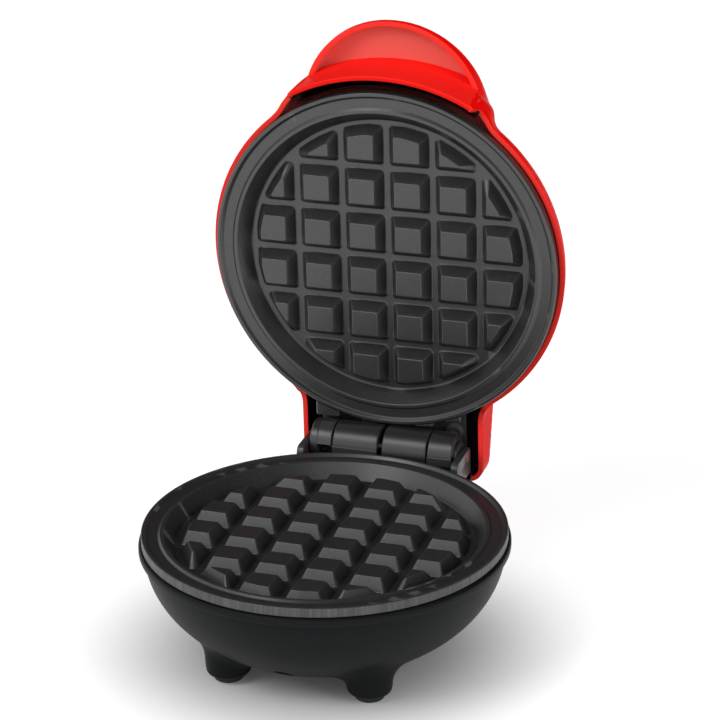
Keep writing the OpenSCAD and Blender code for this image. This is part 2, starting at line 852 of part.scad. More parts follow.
module base_hinge_bracket() {
    color([0.1, 0.105, 0.11]) difference() {
        union() {
            at_hinge() for (k = [[knuckle_x[1], knuckle_x[2]], [knuckle_x[3], knuckle_x[4]]]) {
                rod_x(k[0] + knuckle_gap / 2, k[1] - knuckle_gap / 2, knuckle_r);
                side_outline(k[0] + knuckle_gap / 2, k[1] - knuckle_gap / 2)
                    polygon([[ledge, tower_top + snug], [knuckle_r - knuckle_neck, tower_top + snug],
                        [knuckle_r - knuckle_neck, -knuckle_neck], [0, 0], [-knuckle_r, 0],
                        [ledge + ledge_edge, -ledge_drop], [ledge, -ledge_drop - ledge_edge]]);
            }
            at_hinge() {
                rod_x(knuckle_x[1] - sleeve_l, knuckle_x[1] + bite, sleeve_r);
                intersection() {
                    rod_x(knuckle_x[1] - sleeve_l, knuckle_x[1] + bite, knuckle_r - tooth_drop);
                    hinge_wedge(knuckle_x[1] - sleeve_l, knuckle_x[1] + bite, notch_to - stop_gap - tooth_w,
                        notch_to - stop_gap);
                }
            }
        }
        at_hinge() pin_bore();
        base_hinge_holes() cylinder(r = screw_hole, h = base_hole_l, center = true);
    }
}

module base_hinge_screws() {
    color([0.75, 0.75, 0.77]) base_hinge_holes() translate([0, 0, -wall - head_h - snug])
        screw(wall + base_screw_bite);
}

module lid_knuckles() {
    for (k = [[knuckle_x[0], knuckle_x[1]], [knuckle_x[2], knuckle_x[3]]]) {
        rod_x(k[0] + knuckle_gap / 2, k[1] - knuckle_gap / 2, knuckle_r);
        side_outline(k[0] + knuckle_gap / 2, k[1] - knuckle_gap / 2)
            polygon([[-knuckle_r + knuckle_neck, 0], [bar_back, 0], [bar_back, bar_z - hinge_z + bite],
                [-knuckle_r + knuckle_neck, bar_z - hinge_z + bite]]);
    }
}

module lid_bracket_holes() {
    for (x = [(knuckle_x[1] + knuckle_x[2]) / 2, (knuckle_x[3] + knuckle_x[4]) / 2])
        translate([x, hinge_y - lid_screw_back, bar_z]) children();
}

module lid_hinge_bracket() {
    color([0.1, 0.105, 0.11]) opened() difference() {
        union() {
            translate([-knuckle_half, bar_front_y, bar_z])
                cube([2 * knuckle_half, bar_back_y - bar_front_y, bar_t]);
            for (k = [[knuckle_x[0], knuckle_x[1]], [knuckle_x[2], knuckle_x[3]]])
                translate([k[0], bar_front_y, bracket_z])
                    cube([k[1] - k[0], bracket_edge_y - bar_front_y, bracket_t + bite]);
            translate([-knuckle_half, bar_front_y, bracket_z])
                cube([2 * knuckle_half, bracket_edge_y - bar_front_y - bracket_cut, bracket_t + bite]);
            at_hinge() lid_knuckles();
        }
        at_hinge() {
            pin_bore();
            rod_x(knuckle_x[1] - sleeve_l - air, knuckle_x[1] + bite, sleeve_r + air);
            intersection() {
                difference() {
                    rod_x(knuckle_x[1] - notch_w, knuckle_x[1], knuckle_r + bite);
                    rod_x(knuckle_x[1] - notch_w - bite, knuckle_x[1] + bite, sleeve_r);
                }
                hinge_wedge(knuckle_x[1] - notch_w, knuckle_x[1], notch_from + open_angle,
                    notch_to + open_angle);
            }
        }
        lid_bracket_holes() {
            translate([0, 0, -bite]) cylinder(r = screw_pass, h = bar_t + 2 * bite);
            translate([0, 0, -bite]) cylinder(r = head_r + air, h = head_h + snug + bite);
        }
    }
}

module lid_hinge_screws() {
    color([0.75, 0.75, 0.77]) opened() lid_bracket_holes()
        screw(bar_t - head_h + lid_screw_bite);
}

// ---- Lid housing ----

// A round block with the handle's plan
module handle_round(r, z1, z2) {
    translate([0, -handle_centre, z1]) cylinder(r = r, h = z2 - z1);
}

module handle_outside() {
    intersection() {
        handle_round(handle_r, handle_z, dome_top_z);
        side_outline(-far / 2, far / 2) polygon([[-handle_tip - bite, handle_z - bite],
            [-handle_root, handle_z - bite], [-handle_root, handle_top_z],
            [-handle_tip - bite, handle_z + handle_edge_h]]);
    }
}

module handle_inside() {
    difference() {
        intersection() {
            handle_round(handle_r - handle_t, handle_z - bite, dome_top_z);
            side_outline(-far / 2, far / 2) polygon([[-handle_tip, handle_z - 2 * bite],
                [-handle_root, handle_z - 2 * bite], [-handle_root, handle_z + pocket_h],
                [-pocket_r, handle_z + pocket_h], [-handle_tip, handle_z + handle_edge_h - handle_t]]);
        }
        translate([0, 0, -far / 2]) cylinder(r = pocket_r, h = 2 * far);
    }
}

// A ring sector about the lid's axis, centred on the front
module front_sector(r1, r2, z1, z2, half) {
    intersection() {
        translate([0, 0, z1]) difference() {
            cylinder(r = r2, h = z2 - z1);
            translate([0, 0, -bite]) cylinder(r = r1, h = z2 - z1 + 2 * bite);
        }
        translate([0, 0, z1]) rotate(-90) linear_extrude(z2 - z1) wedge_2d(-half, half);
    }
}

// The guard wall, with the bridge and the ends that join it to the lid
module guard() {
    front_sector(guard_r, pocket_r, lid_z - guard_drop, slot_z + bridge_t, guard_angle);
    front_sector(dome_r - bridge_reach, pocket_r - bite / 2, slot_z, slot_z + bridge_t, guard_angle);
    difference() {
        front_sector(lid_r - bite, guard_r + bite / 2, lid_z, slot_z + bridge_t / 2, guard_angle);
        front_sector(lid_r - 2 * bite, guard_r + bite, lid_z - bite, slot_z + bridge_t,
            guard_angle - guard_end);
    }
}

module dome_outside() {
    rotate_extrude() polygon(concat([[0, lid_z], [lid_r, lid_z], [lid_r, dome_z]],
        [for (p = shell_curve(dome_r, dome_flat_r, dome_curve_h, dome_h)) [p[0], dome_z + p[1]]],
        [[0, dome_top_z]]));
}

module dome_inside() {
    rotate_extrude() polygon(concat([[0, lid_z - bite], [plate_r + air, lid_z - bite], [plate_r + air, lid_z]],
        [for (p = shell_curve(plate_r + air, dome_flat_r, dome_curve_h - wall, dome_h - wall))
            [p[0], dome_z + p[1]]],
        [[0, dome_top_z - wall]]));
}

// Plan of the hinge cover, open towards the lid
module cover_2d(inset) {
    half = cover_out - inset;
    corner = max(cover_corner - inset, 0.5);
    back = cover_y - inset;
    for (x = [-half + corner, half - corner]) translate([x, back - corner]) circle(r = corner);
    translate([-half, cover_root]) square([2 * half, back - corner - cover_root]);
    translate([-half + corner, cover_root]) square([2 * (half - corner), back - cover_root]);
}

// Side outline of the cover, or of its hollow when inset by a wall
module cover_side(from, inset) {
    side_outline(-far / 2, far / 2) polygon([[cover_root, from], [cover_y, from],
        [cover_y, cover_z + cover_end_h - inset],
        [cover_y - cover_bevel - inset, cover_z + cover_end_h + cover_bevel - inset],
        [cover_mid_y, dome_top_z - cover_mid_drop - inset],
        [cover_root, dome_top_z - cover_root_drop - inset]]);
}

module cover_outside() {
    intersection() {
        translate([0, 0, cover_z]) linear_extrude(far) cover_2d(0);
        cover_side(cover_z, 0);
    }
}

module cover_inside() {
    intersection() {
        translate([0, 0, cover_z - bite]) linear_extrude(far) cover_2d(cover_t);
        cover_side(cover_z - bite, cover_t);
    }
}

module upper_housing() {
    color([0.8, 0.03, 0.02]) opened() difference() {
        union() {
            difference() {
                union() {
                    dome_outside();
                    handle_outside();
                    guard();
                    cover_outside();
                }
                dome_inside();
                cover_inside();
                handle_inside();
            }
            intersection() {
                lid_bracket_holes() translate([0, 0, bar_t + snug]) cylinder(r = post_r, h = far);
                union() {
                    dome_outside();
                    cover_outside();
                }
            }
        }
        lid_bracket_holes() cylinder(r = screw_hole, h = bar_t + lid_screw_bite + bite);
        translate([-knuckle_half - air, bar_front_y - air, 0])
            cube([2 * (knuckle_half + air), far, bar_z + bar_t]);
        translate([0, lens_y, 0]) cylinder(r = lens_r + snug, h = far);
    }
}

// ---- Indicator ----

module indicator_lens() {
    color([0.2, 0.4, 0.9]) opened() translate([0, lens_y, dome_top_z]) {
        translate([0, 0, -wall - lens_drop])
            cylinder(r = lens_r, h = wall + lens_drop + snug + lens_lip_h / 2);
        translate([0, 0, snug]) cylinder(r = lens_r + lens_lip, h = lens_lip_h);
    }
}

module indicator_lamp() {
    color([0.9, 0.85, 0.8]) opened() translate([0, lens_y, dome_top_z - wall - lens_drop - snug - lamp_l])
        cylinder(r = lens_r - air, h = lamp_l);
}

module lid_wires() {
    color([0.5, 0.5, 0.48]) opened() {
        top = upper_well_z - element_z + element_drop + element_pin_l;
        for (side = [-1, 1])
            wire([[side * pin_end[0], pin_end[1], top + snug], [side * pin_end[0], pin_end[1], top + 3],
                [side * 9, 42, top + 1]]);
    }
}

lower_housing();
foot_pads();
lower_plate();
lower_plate_screws();
lower_element();
lower_element_clamps();
lower_clamp_screws();
lower_reflector();
thermostat();
thermostat_bracket();
thermostat_screws();
thermal_fuse();
terminal_block();
terminal_block_screws();
live_wires();
neutral_wires();
earth_wire();
cord_gland();
cord_clamp();
cord_clamp_screws();
base_hinge_bracket();
base_hinge_screws();
hinge_pin();
upper_housing();
upper_plate();
upper_plate_screws();
upper_element();
upper_element_clamps();
upper_clamp_screws();
upper_reflector();
lid_hinge_bracket();
lid_hinge_screws();
indicator_lens();
indicator_lamp();
lid_wires();
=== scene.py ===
import bpy, bmesh, json, math
import numpy as np
from mathutils import Matrix, Vector
from mathutils.geometry import delaunay_2d_cdt


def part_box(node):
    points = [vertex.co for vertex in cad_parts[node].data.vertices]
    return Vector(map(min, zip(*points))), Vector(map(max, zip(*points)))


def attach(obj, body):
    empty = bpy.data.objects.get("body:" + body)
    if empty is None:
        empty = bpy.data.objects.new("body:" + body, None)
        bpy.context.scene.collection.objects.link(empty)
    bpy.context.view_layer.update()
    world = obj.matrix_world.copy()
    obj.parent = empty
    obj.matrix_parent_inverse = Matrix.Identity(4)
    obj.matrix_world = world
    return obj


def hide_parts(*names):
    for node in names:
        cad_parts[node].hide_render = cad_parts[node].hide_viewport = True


# Round waffle maker, standing open. Shapes are drawn in millimetres with the lid closed, in the frame's axes:
# the origin on the floor under the lower plate, +Y to the hinge, +Z up. Lid pieces are then turned open.

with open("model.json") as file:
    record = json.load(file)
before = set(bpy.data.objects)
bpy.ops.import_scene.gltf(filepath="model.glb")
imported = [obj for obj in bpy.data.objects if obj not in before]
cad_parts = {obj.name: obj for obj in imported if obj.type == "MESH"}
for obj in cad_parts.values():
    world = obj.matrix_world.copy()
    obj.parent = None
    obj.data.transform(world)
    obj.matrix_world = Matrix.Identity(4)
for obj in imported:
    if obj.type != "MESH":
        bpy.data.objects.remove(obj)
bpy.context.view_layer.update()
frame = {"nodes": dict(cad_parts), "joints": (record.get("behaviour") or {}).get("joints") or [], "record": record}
millimetre = 0.001

joint = frame["joints"][0]
hingeY, hingeZ = (value / millimetre for value in joint["pos_m"][1:])
openAngle = math.radians(max(abs(value) for value in joint["range_deg"]))


def boxOf(node):
    low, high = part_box(node)
    return np.array(low) / millimetre, np.array(high) / millimetre


# What the pieces share

plate = {
    "rimGap": 0.3, "rimW": 1.3, "slopeW": 0.9, "landW": 3.4, "beadW": 1.1, "wellRun": 3.8, "gutterW": 1.7,
    "rimH": 6.0, "landH": 4.9, "wellH": 5.7, "skirtDrop": 3.3, "plateT": 2.6, "flangeStep": 1.5,
    "flangeH": 4.0, "flangeW": 2.2, "flangeIn": 0.6, "floorEdge": 3, "underFlat": 20, "turns": 288,
    "cellPitch": 16.6, "cellTop": 9.1, "cellFoot": 14.5, "cellH": 4.5, "cellReach": 5,
    "cellSteps": (-2.5, -1.5, -0.5, 0.5, 1.5, 2.5), "normalsPerQuarter": 18,
    "footFillet": 0.7, "topFillet": 0.42, "cornerFoot": 1.5, "cornerTop": 0.5, "cornerLeast": 0.15,
    "skirtDepth": 0.3, "skirtFacing": 0.7,
}
boxMargin = 0.01
plateR, _, rimZ = boxOf("lower_plate")[1]
lipR = boxOf("lower_housing")[1][0] - boxMargin
wellZ = rimZ - plate["rimH"]
upperWellZ = 2 * (rimZ + plate["rimGap"] / 2) - wellZ


def turnedOpen(points):
    c, s = math.cos(-openAngle), math.sin(-openAngle)
    y, z = points[:, 1] - hingeY, points[:, 2] - hingeZ
    return np.stack([points[:, 0], hingeY + c * y - s * z, hingeZ + s * y + c * z], 1)


def closedAgain(point):
    x, y, z = (value / millimetre for value in point)
    c, s = math.cos(openAngle), math.sin(openAngle)
    return x, hingeY + (y - hingeY) * c - (z - hingeZ) * s, hingeZ + (y - hingeY) * s + (z - hingeZ) * c


def smoothMin(a, b, k):
    share = np.clip(0.5 + 0.5 * (b - a) / k, 0, 1)
    return b + (a - b) * share - k * share * (1 - share)


def smoothMax(a, b, k):
    return -smoothMin(-a, -b, k)


def smoothStep(a, b, x):
    t = np.clip((np.asarray(x, float) - a) / (b - a), 0, 1)
    return t * t * (3 - 2 * t)


def unitRing(count):
    turn = np.arange(count) * 2 * math.pi / count
    return np.stack([np.cos(turn), np.sin(turn)], 1)


# An outline in Y and Z, set at one place along X
def atX(x, outline):
    return np.column_stack([np.full(len(outline), x), outline])


# A quarter turn of an edge, as shares of its radius from 0 to 1 across and up
def quarterTurn(count):
    return [(1 - math.sin(a), 1 - math.cos(a)) for a in np.linspace(0, math.pi / 2, count)]


# An outline of (u, v) points with the corner radii given beside them, its corners drawn as arcs
def rounded(points, closed=False, stepAngle=12, stepCount=None):
    done, count = [], len(points)
    for i, (u, v, radius) in enumerate(points):
        corner = np.array([u, v], float)
        if radius <= 0 or (not closed and i in (0, count - 1)):
            done.append(corner)
            continue
        before = np.array(points[i - 1][:2], float) - corner
        after = np.array(points[(i + 1) % count][:2], float) - corner
        lb, la = np.linalg.norm(before), np.linalg.norm(after)
        before, after = before / lb, after / la
        half = math.acos(np.clip(before @ after, -1, 1)) / 2
        if math.pi / 2 - half < 0.01:
            done.append(corner)
            continue
        reach = min(radius / math.tan(half), 0.49 * lb, 0.49 * la)
        radius = reach * math.tan(half)
        centre = corner + (before + after) / np.linalg.norm(before + after) * radius / math.sin(half)
        a, b = corner + before * reach - centre, corner + after * reach - centre
        turn = math.atan2(a[0] * b[1] - a[1] * b[0], a @ b)
        steps = stepCount or max(2, math.ceil(abs(math.degrees(turn)) / stepAngle))
        for k in range(steps + 1):
            c, s = math.cos(turn * k / steps), math.sin(turn * k / steps)
            done.append(centre + [c * a[0] - s * a[1], s * a[0] + c * a[1]])
    return np.array(done)


# Loops of equal count, one after the other, joined by quads
def stacked(loops, capFirst=False, capLast=False, joinEnds=False):
    count, faces = len(loops[0]), []
    for i in range(len(loops) if joinEnds else len(loops) - 1):
        j = (i + 1) % len(loops)
        for k in range(count):
            m = (k + 1) % count
            faces.append((i * count + k, i * count + m, j * count + m, j * count + k))
    if capFirst:
        faces.append(tuple(reversed(range(count))))
    if capLast:
        faces.append(tuple(range((len(loops) - 1) * count, len(loops) * count)))
    return np.concatenate(loops), faces


def revolved(profile, turns, closed=False):
    ring = unitRing(turns)
    return stacked([np.column_stack([r * ring, np.full(turns, z)]) for r, z in profile], joinEnds=closed)


def together(*parts):
    points, faces, base = [], [], 0
    for partPoints, partFaces in parts:
        points.append(partPoints)
        faces += [tuple(i + base for i in face) for face in partFaces]
        base += len(partPoints)
    return np.concatenate(points), faces


def insideRing(point, ring):
    following = np.roll(ring, -1, 0)
    crosses = (ring[:, 1] > point[1]) != (following[:, 1] > point[1])
    a, b = ring[crosses], following[crosses]
    x = a[:, 0] + (point[1] - a[:, 1]) / (b[:, 1] - a[:, 1]) * (b[:, 0] - a[:, 0])
    return np.count_nonzero(x > point[0]) % 2 == 1


# The flat area inside an edge and outside the rings in it, through any loose points given
def filledBetween(edge, rings, loose=()):
    points, edges = [], []
    for ring in [edge, *rings]:
        start = len(points)
        points += [Vector(point) for point in ring]
        edges += [(start + i, start + (i + 1) % len(ring)) for i in range(len(ring))]
    points += [Vector(point) for point in loose]
    flat, _, faces, _, _, _ = delaunay_2d_cdt(points, edges, [], 1, 1e-5)
    flat = np.array(flat)
    return flat, [tuple(face) for face in faces
                  if not any(insideRing(flat[list(face)].mean(0), ring) for ring in rings)]


# A piece of the model, joined where points meet, and smooth apart from edges that bend past sharp degrees
def piece(name, shape, body, slot, replaced=(), looks=(), sharp=40, weighted=True, merge=0.004):
    points = turnedOpen(shape[0]) if body == "lid" else shape[0]
    mesh = bpy.data.meshes.new(name)
    mesh.from_pydata((points * millimetre).tolist(), [], shape[1])
    work = bmesh.new()
    work.from_mesh(mesh)
    bmesh.ops.remove_doubles(work, verts=work.verts, dist=merge * millimetre)
    bmesh.ops.dissolve_degenerate(work, edges=work.edges, dist=merge * millimetre / 2)
    bmesh.ops.recalc_face_normals(work, faces=work.faces)
    work.to_mesh(mesh)
    work.free()
    mesh.shade_smooth()
    mesh.set_sharp_from_angle(angle=math.radians(sharp))
    obj = bpy.data.objects.new(name, mesh)
    bpy.context.scene.collection.objects.link(obj)
    for look in looks or [slot]:
        mesh.materials.append(materials[look])
    if weighted:
        obj.modifiers.new("evenNormals", "WEIGHTED_NORMAL").keep_sharp = True
    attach(obj, body)
    if replaced:
        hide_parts(*replaced)
    return obj


# Effects shared by the finishes, as node groups

surface = {
    "grainRough": 0.6, "grainDots": 0.4, "patchScale": 28, "patchContrast": 1.6, "wearAndHighlightFrom": 0.505,
    "wearAndHighlightWidth": 0.05, "wearAndHighlightAmount": 0.55, "fleckScale": 1700, "fleckShare": 0.3, "fleckGain": 6.0,
    "streakCount": 1100, "streakContrast": 0.9, "streakSqueeze": (1, 1, 0.03), "streakSpan": (0.4, 0.62),
}


def place(tree, kind, **values):
    node = tree.nodes.new(kind)
    for key, value in values.items():
        if key.startswith("in_"):
            node.inputs[key[3:].replace("_", " ")].default_value = value
        else:
            setattr(node, key, value)
    return node


def sumNode(tree, operation, second=None, clamp=False):
    node = place(tree, "ShaderNodeMath", operation=operation, use_clamp=clamp)
    if second is not None:
        node.inputs[1].default_value = second
    return node


def spanNode(tree, start=(0, 1), end=(0, 1), kind="LINEAR"):
    return place(tree, "ShaderNodeMapRange", interpolation_type=kind,
                 in_From_Min=start[0], in_From_Max=start[1], in_To_Min=end[0], in_To_Max=end[1])


# Links, each given as a node and its output, then the node and the input that it runs to
def wire(tree, *links):
    for source, output, target, given in links:
        tree.links.new(source.outputs[output], target.inputs[given])


def newGroup(name, inputs, output="Mask"):
    group = bpy.data.node_groups.new(name, "ShaderNodeTree")
    for label in inputs:
        group.interface.new_socket(label, in_out="INPUT", socket_type="NodeSocketFloat")
    group.interface.new_socket(output, in_out="OUTPUT", socket_type="NodeSocketFloat")
    return group, group.nodes.new("NodeGroupInput"), group.nodes.new("NodeGroupOutput")


# Fine moulding or casting grain, as a height for bumps
def grainGroup():
    group, given, made = newGroup("surfaceGrain", ["Scale"], "Height")
    where = place(group, "ShaderNodeTexCoord")
    noise = place(group, "ShaderNodeTexNoise", in_Detail=4, in_Roughness=surface["grainRough"])
    dots = place(group, "ShaderNodeTexVoronoi", feature="F1")
    both = sumNode(group, "MULTIPLY_ADD", surface["grainDots"])
    for texture in (noise, dots):
        wire(group, (where, "Object", texture, "Vector"), (given, "Scale", texture, "Scale"))
    wire(group, (dots, "Distance", both, 0), (noise, "Fac", both, 2), (both, 0, made, "Height"))
    return group


# Broad uneven patches, as handling and cleaning leave them
def patchGroup():
    group, given, made = newGroup("handledPatches", ["Scale", "Contrast"])
    where = place(group, "ShaderNodeTexCoord")
    noise = place(group, "ShaderNodeTexNoise", in_Detail=3, in_Distortion=0.4)
    centred, spread = sumNode(group, "SUBTRACT", 0.5), sumNode(group, "MULTIPLY")
    back = sumNode(group, "ADD", 0.5, clamp=True)
    wire(group, (where, "Object", noise, "Vector"), (given, "Scale", noise, "Scale"),
         (noise, "Fac", centred, 0), (centred, 0, spread, 0), (given, "Contrast", spread, 1),
         (spread, 0, back, 0), (back, 0, made, "Mask"))
    return group


# Edges that handling has worn lighter or smoother, and a painted highlight along the same crests
def wearAndHighlightGroup():
    group, given, made = newGroup("edgeWearAndHighlight", ["Width", "Amount"])
    shape = place(group, "ShaderNodeNewGeometry")
    raised = sumNode(group, "SUBTRACT", surface["wearAndHighlightFrom"])
    sized, kept = sumNode(group, "DIVIDE", clamp=True), sumNode(group, "MULTIPLY", clamp=True)
    wire(group, (shape, "Pointiness", raised, 0), (raised, 0, sized, 0), (given, "Width", sized, 1),
         (sized, 0, kept, 0), (given, "Amount", kept, 1), (kept, 0, made, "Mask"))
    return group


# Tiny lighter flecks in a sprayed coating
def fleckGroup():
    group, given, made = newGroup("coatingFlecks", ["Scale", "Share"])
    where = place(group, "ShaderNodeTexCoord")
    cells = place(group, "ShaderNodeTexVoronoi", feature="F1")
    edge = sumNode(group, "SUBTRACT", clamp=True)
    near = sumNode(group, "MULTIPLY", surface["fleckGain"], clamp=True)
    wire(group, (where, "Object", cells, "Vector"), (given, "Scale", cells, "Scale"),
         (given, "Share", edge, 0), (cells, "Distance", edge, 1), (edge, 0, near, 0), (near, 0, made, "Mask"))
    return group


# Straight tool marks round the Z axis of the plates, which run up the skirt
def streakGroup():
    group, given, made = newGroup("skirtStreaks", ["Count", "Contrast"])
    where = place(group, "ShaderNodeTexCoord")
    squeezed = place(group, "ShaderNodeVectorMath", operation="MULTIPLY")
    squeezed.inputs[1].default_value = surface["streakSqueeze"]
    noise = place(group, "ShaderNodeTexNoise", in_Detail=5, in_Roughness=0.75)
    ramp = spanNode(group, surface["streakSpan"])
    kept = sumNode(group, "MULTIPLY", clamp=True)
    wire(group, (where, "Object", squeezed, 0), (squeezed, "Vector", noise, "Vector"),
         (given, "Count", noise, "Scale"), (noise, "Fac", ramp, "Value"), (ramp, "Result", kept, 0),
         (given, "Contrast", kept, 1), (kept, 0, made, "Mask"))
    return group


effects = {"grain": grainGroup(), "patches": patchGroup(), "wearAndHighlight": wearAndHighlightGroup(), "flecks": fleckGroup(),
           "streaks": streakGroup()}

# What each finish is made of. Colours are linear: tint is the colour of its patches and edge that of its edges,
# partly worn and partly a painted highlight. Grain is how fine the bumps are and how deep, in metres.
finishes = {
    "base_plastic": {"colour": (0.0042, 0.005, 0.0054), "tint": (0.0058, 0.0067, 0.0072),
                     "edge": (0.018, 0.02, 0.021), "rough": (0.42, 0.5), "specular": 0.12,
                     "grain": (1500, 1e-5)},
    "pad_rubber": {"colour": (0.008, 0.008, 0.0085), "tint": (0.014, 0.014, 0.014),
                   "edge": (0.03, 0.03, 0.03), "rough": (0.65, 0.8), "grain": (1200, 3e-5)},
    "plate_coating": {"colour": (0.012, 0.012, 0.0125), "tint": (0.017, 0.017, 0.0175),
                      "edge": (0.12, 0.12, 0.125), "rough": (0.3, 0.38), "specular": 1.0,
                      "grain": (1400, 3e-5), "flecks": (0.05, 0.05, 0.054)},
    "plate_skirt": {"colour": (0.03, 0.03, 0.031), "tint": (0.038, 0.038, 0.039), "edge": (0.1, 0.1, 0.103),
                    "rough": (0.42, 0.5), "grain": (1400, 2e-5), "streaks": (0.1, 0.1, 0.103)},
    "screw_steel": {"colour": (0.55, 0.55, 0.56), "tint": (0.45, 0.45, 0.46), "edge": (0.8, 0.8, 0.8),
                    "rough": (0.25, 0.4), "metallic": 1, "grain": (900, 8e-6)},
    "element_sheath": {"colour": (0.18, 0.15, 0.13), "tint": (0.12, 0.09, 0.1), "edge": (0.3, 0.27, 0.25),
                       "rough": (0.4, 0.6), "metallic": 1, "grain": (700, 2e-5)},
    "sheet_steel": {"colour": (0.5, 0.5, 0.52), "tint": (0.42, 0.42, 0.44), "edge": (0.7, 0.7, 0.7),
                    "rough": (0.3, 0.45), "metallic": 1, "grain": (800, 1e-5)},
    "reflector_aluminium": {"colour": (0.75, 0.75, 0.76), "tint": (0.66, 0.66, 0.68), "edge": (0.9, 0.9, 0.9),
                            "rough": (0.25, 0.4), "metallic": 1, "grain": (600, 1e-5)},
    "thermostat_body": {"colour": (0.02, 0.018, 0.016), "tint": (0.03, 0.026, 0.022),
                        "edge": (0.06, 0.05, 0.05), "rough": (0.4, 0.55), "grain": (900, 2e-5)},
    "fuse_body": {"colour": (0.6, 0.58, 0.5), "tint": (0.5, 0.48, 0.4), "edge": (0.8, 0.8, 0.7),
                  "rough": (0.4, 0.5), "grain": (900, 1e-5)},
    "terminal_ceramic": {"colour": (0.78, 0.76, 0.68), "tint": (0.68, 0.66, 0.58), "edge": (0.9, 0.88, 0.82),
                         "rough": (0.35, 0.5), "grain": (700, 2e-5)},
    "live_insulation": {"colour": (0.25, 0.02, 0.012), "tint": (0.2, 0.016, 0.01), "edge": (0.3, 0.05, 0.04),
                        "rough": (0.45, 0.6), "grain": (900, 1e-5)},
    "neutral_insulation": {"colour": (0.012, 0.03, 0.25), "tint": (0.01, 0.024, 0.2),
                           "edge": (0.05, 0.07, 0.3), "rough": (0.45, 0.6), "grain": (900, 1e-5)},
    "earth_insulation": {"colour": (0.12, 0.35, 0.02), "tint": (0.4, 0.38, 0.02), "edge": (0.3, 0.5, 0.1),
                         "rough": (0.45, 0.6), "grain": (900, 1e-5)},
    "gland_rubber": {"colour": (0.009, 0.009, 0.009), "tint": (0.014, 0.014, 0.014),
                     "edge": (0.03, 0.03, 0.03), "rough": (0.6, 0.75), "grain": (1100, 3e-5)},
    "clamp_plastic": {"colour": (0.65, 0.64, 0.58), "tint": (0.58, 0.57, 0.5), "edge": (0.8, 0.8, 0.75),
                      "rough": (0.4, 0.5), "grain": (900, 1e-5)},
    "hinge_plastic": {"colour": (0.0045, 0.0046, 0.005), "tint": (0.0065, 0.0066, 0.007),
                      "edge": (0.05, 0.05, 0.053), "rough": (0.3, 0.38), "specular": 1.0,
                      "grain": (1300, 1.5e-5)},
    "pin_steel": {"colour": (0.5, 0.5, 0.52), "tint": (0.4, 0.4, 0.42), "edge": (0.7, 0.7, 0.7),
                  "rough": (0.2, 0.3), "metallic": 1, "grain": (800, 8e-6)},
    # The red's edge colour paints the pinkish highlight lines along the rim bands
    "lid_plastic": {"colour": (0.9, 0.003, 0.002), "tint": (0.87, 0.0024, 0.0016),
                    "edge": (0.96, 0.075, 0.055), "rough": (0.26, 0.33), "specular": 0.01,
                    "grain": (1300, 4e-6)},
    # Inner skin: a rougher red, lightened towards salmon as a painted sheen
    "lid_inside_with_sheen": {"colour": (0.8, 0.15, 0.12), "tint": (0.74, 0.125, 0.1), "edge": (0.88, 0.17, 0.14),
                   "rough": (0.5, 0.6), "specular": 0.3, "grain": (1300, 1e-5)},
    # Near-black red on the red shell's inner faces in the hinge cover and the grip slot: painted shade
    "cover_inside": {"colour": (0.012, 0.0035, 0.0035), "tint": (0.018, 0.004, 0.004),
                     "edge": (0.05, 0.01, 0.01), "rough": (0.5, 0.6), "specular": 0.15,
                     "grain": (1300, 1e-5)},
    "lens_plastic": {"colour": (0.05, 0.2, 0.75), "tint": (0.04, 0.16, 0.62), "edge": (0.3, 0.5, 0.9),
                     "rough": (0.12, 0.2), "coat": 0.5, "coatRough": 0.05, "grain": (900, 4e-6)},
    "lamp_glass": {"colour": (0.85, 0.8, 0.7), "tint": (0.8, 0.7, 0.55), "edge": (0.95, 0.9, 0.8),
                   "rough": (0.05, 0.12), "grain": (900, 2e-6)},
    "sleeve_insulation": {"colour": (0.5, 0.49, 0.45), "tint": (0.42, 0.41, 0.38), "edge": (0.6, 0.6, 0.56),
                          "rough": (0.6, 0.8), "grain": (1200, 4e-5)},
}


def effect(tree, name, **values):
    node = place(tree, "ShaderNodeGroup", node_tree=effects[name])
    for key, value in values.items():
        node.inputs[key].default_value = value
    return node


# A colour, or the socket of one, that turns to a second colour where an effect's mask says so
def blended(tree, masking, first, second):
    mix = place(tree, "ShaderNodeMix", data_type="RGBA")
    if isinstance(first, tuple):
        mix.inputs[6].default_value = (*first, 1)
    else:
        tree.links.new(first, mix.inputs[6])
    mix.inputs[7].default_value = (*second, 1)
    wire(tree, (masking, "Mask", mix, 0))
    return mix.outputs[2]


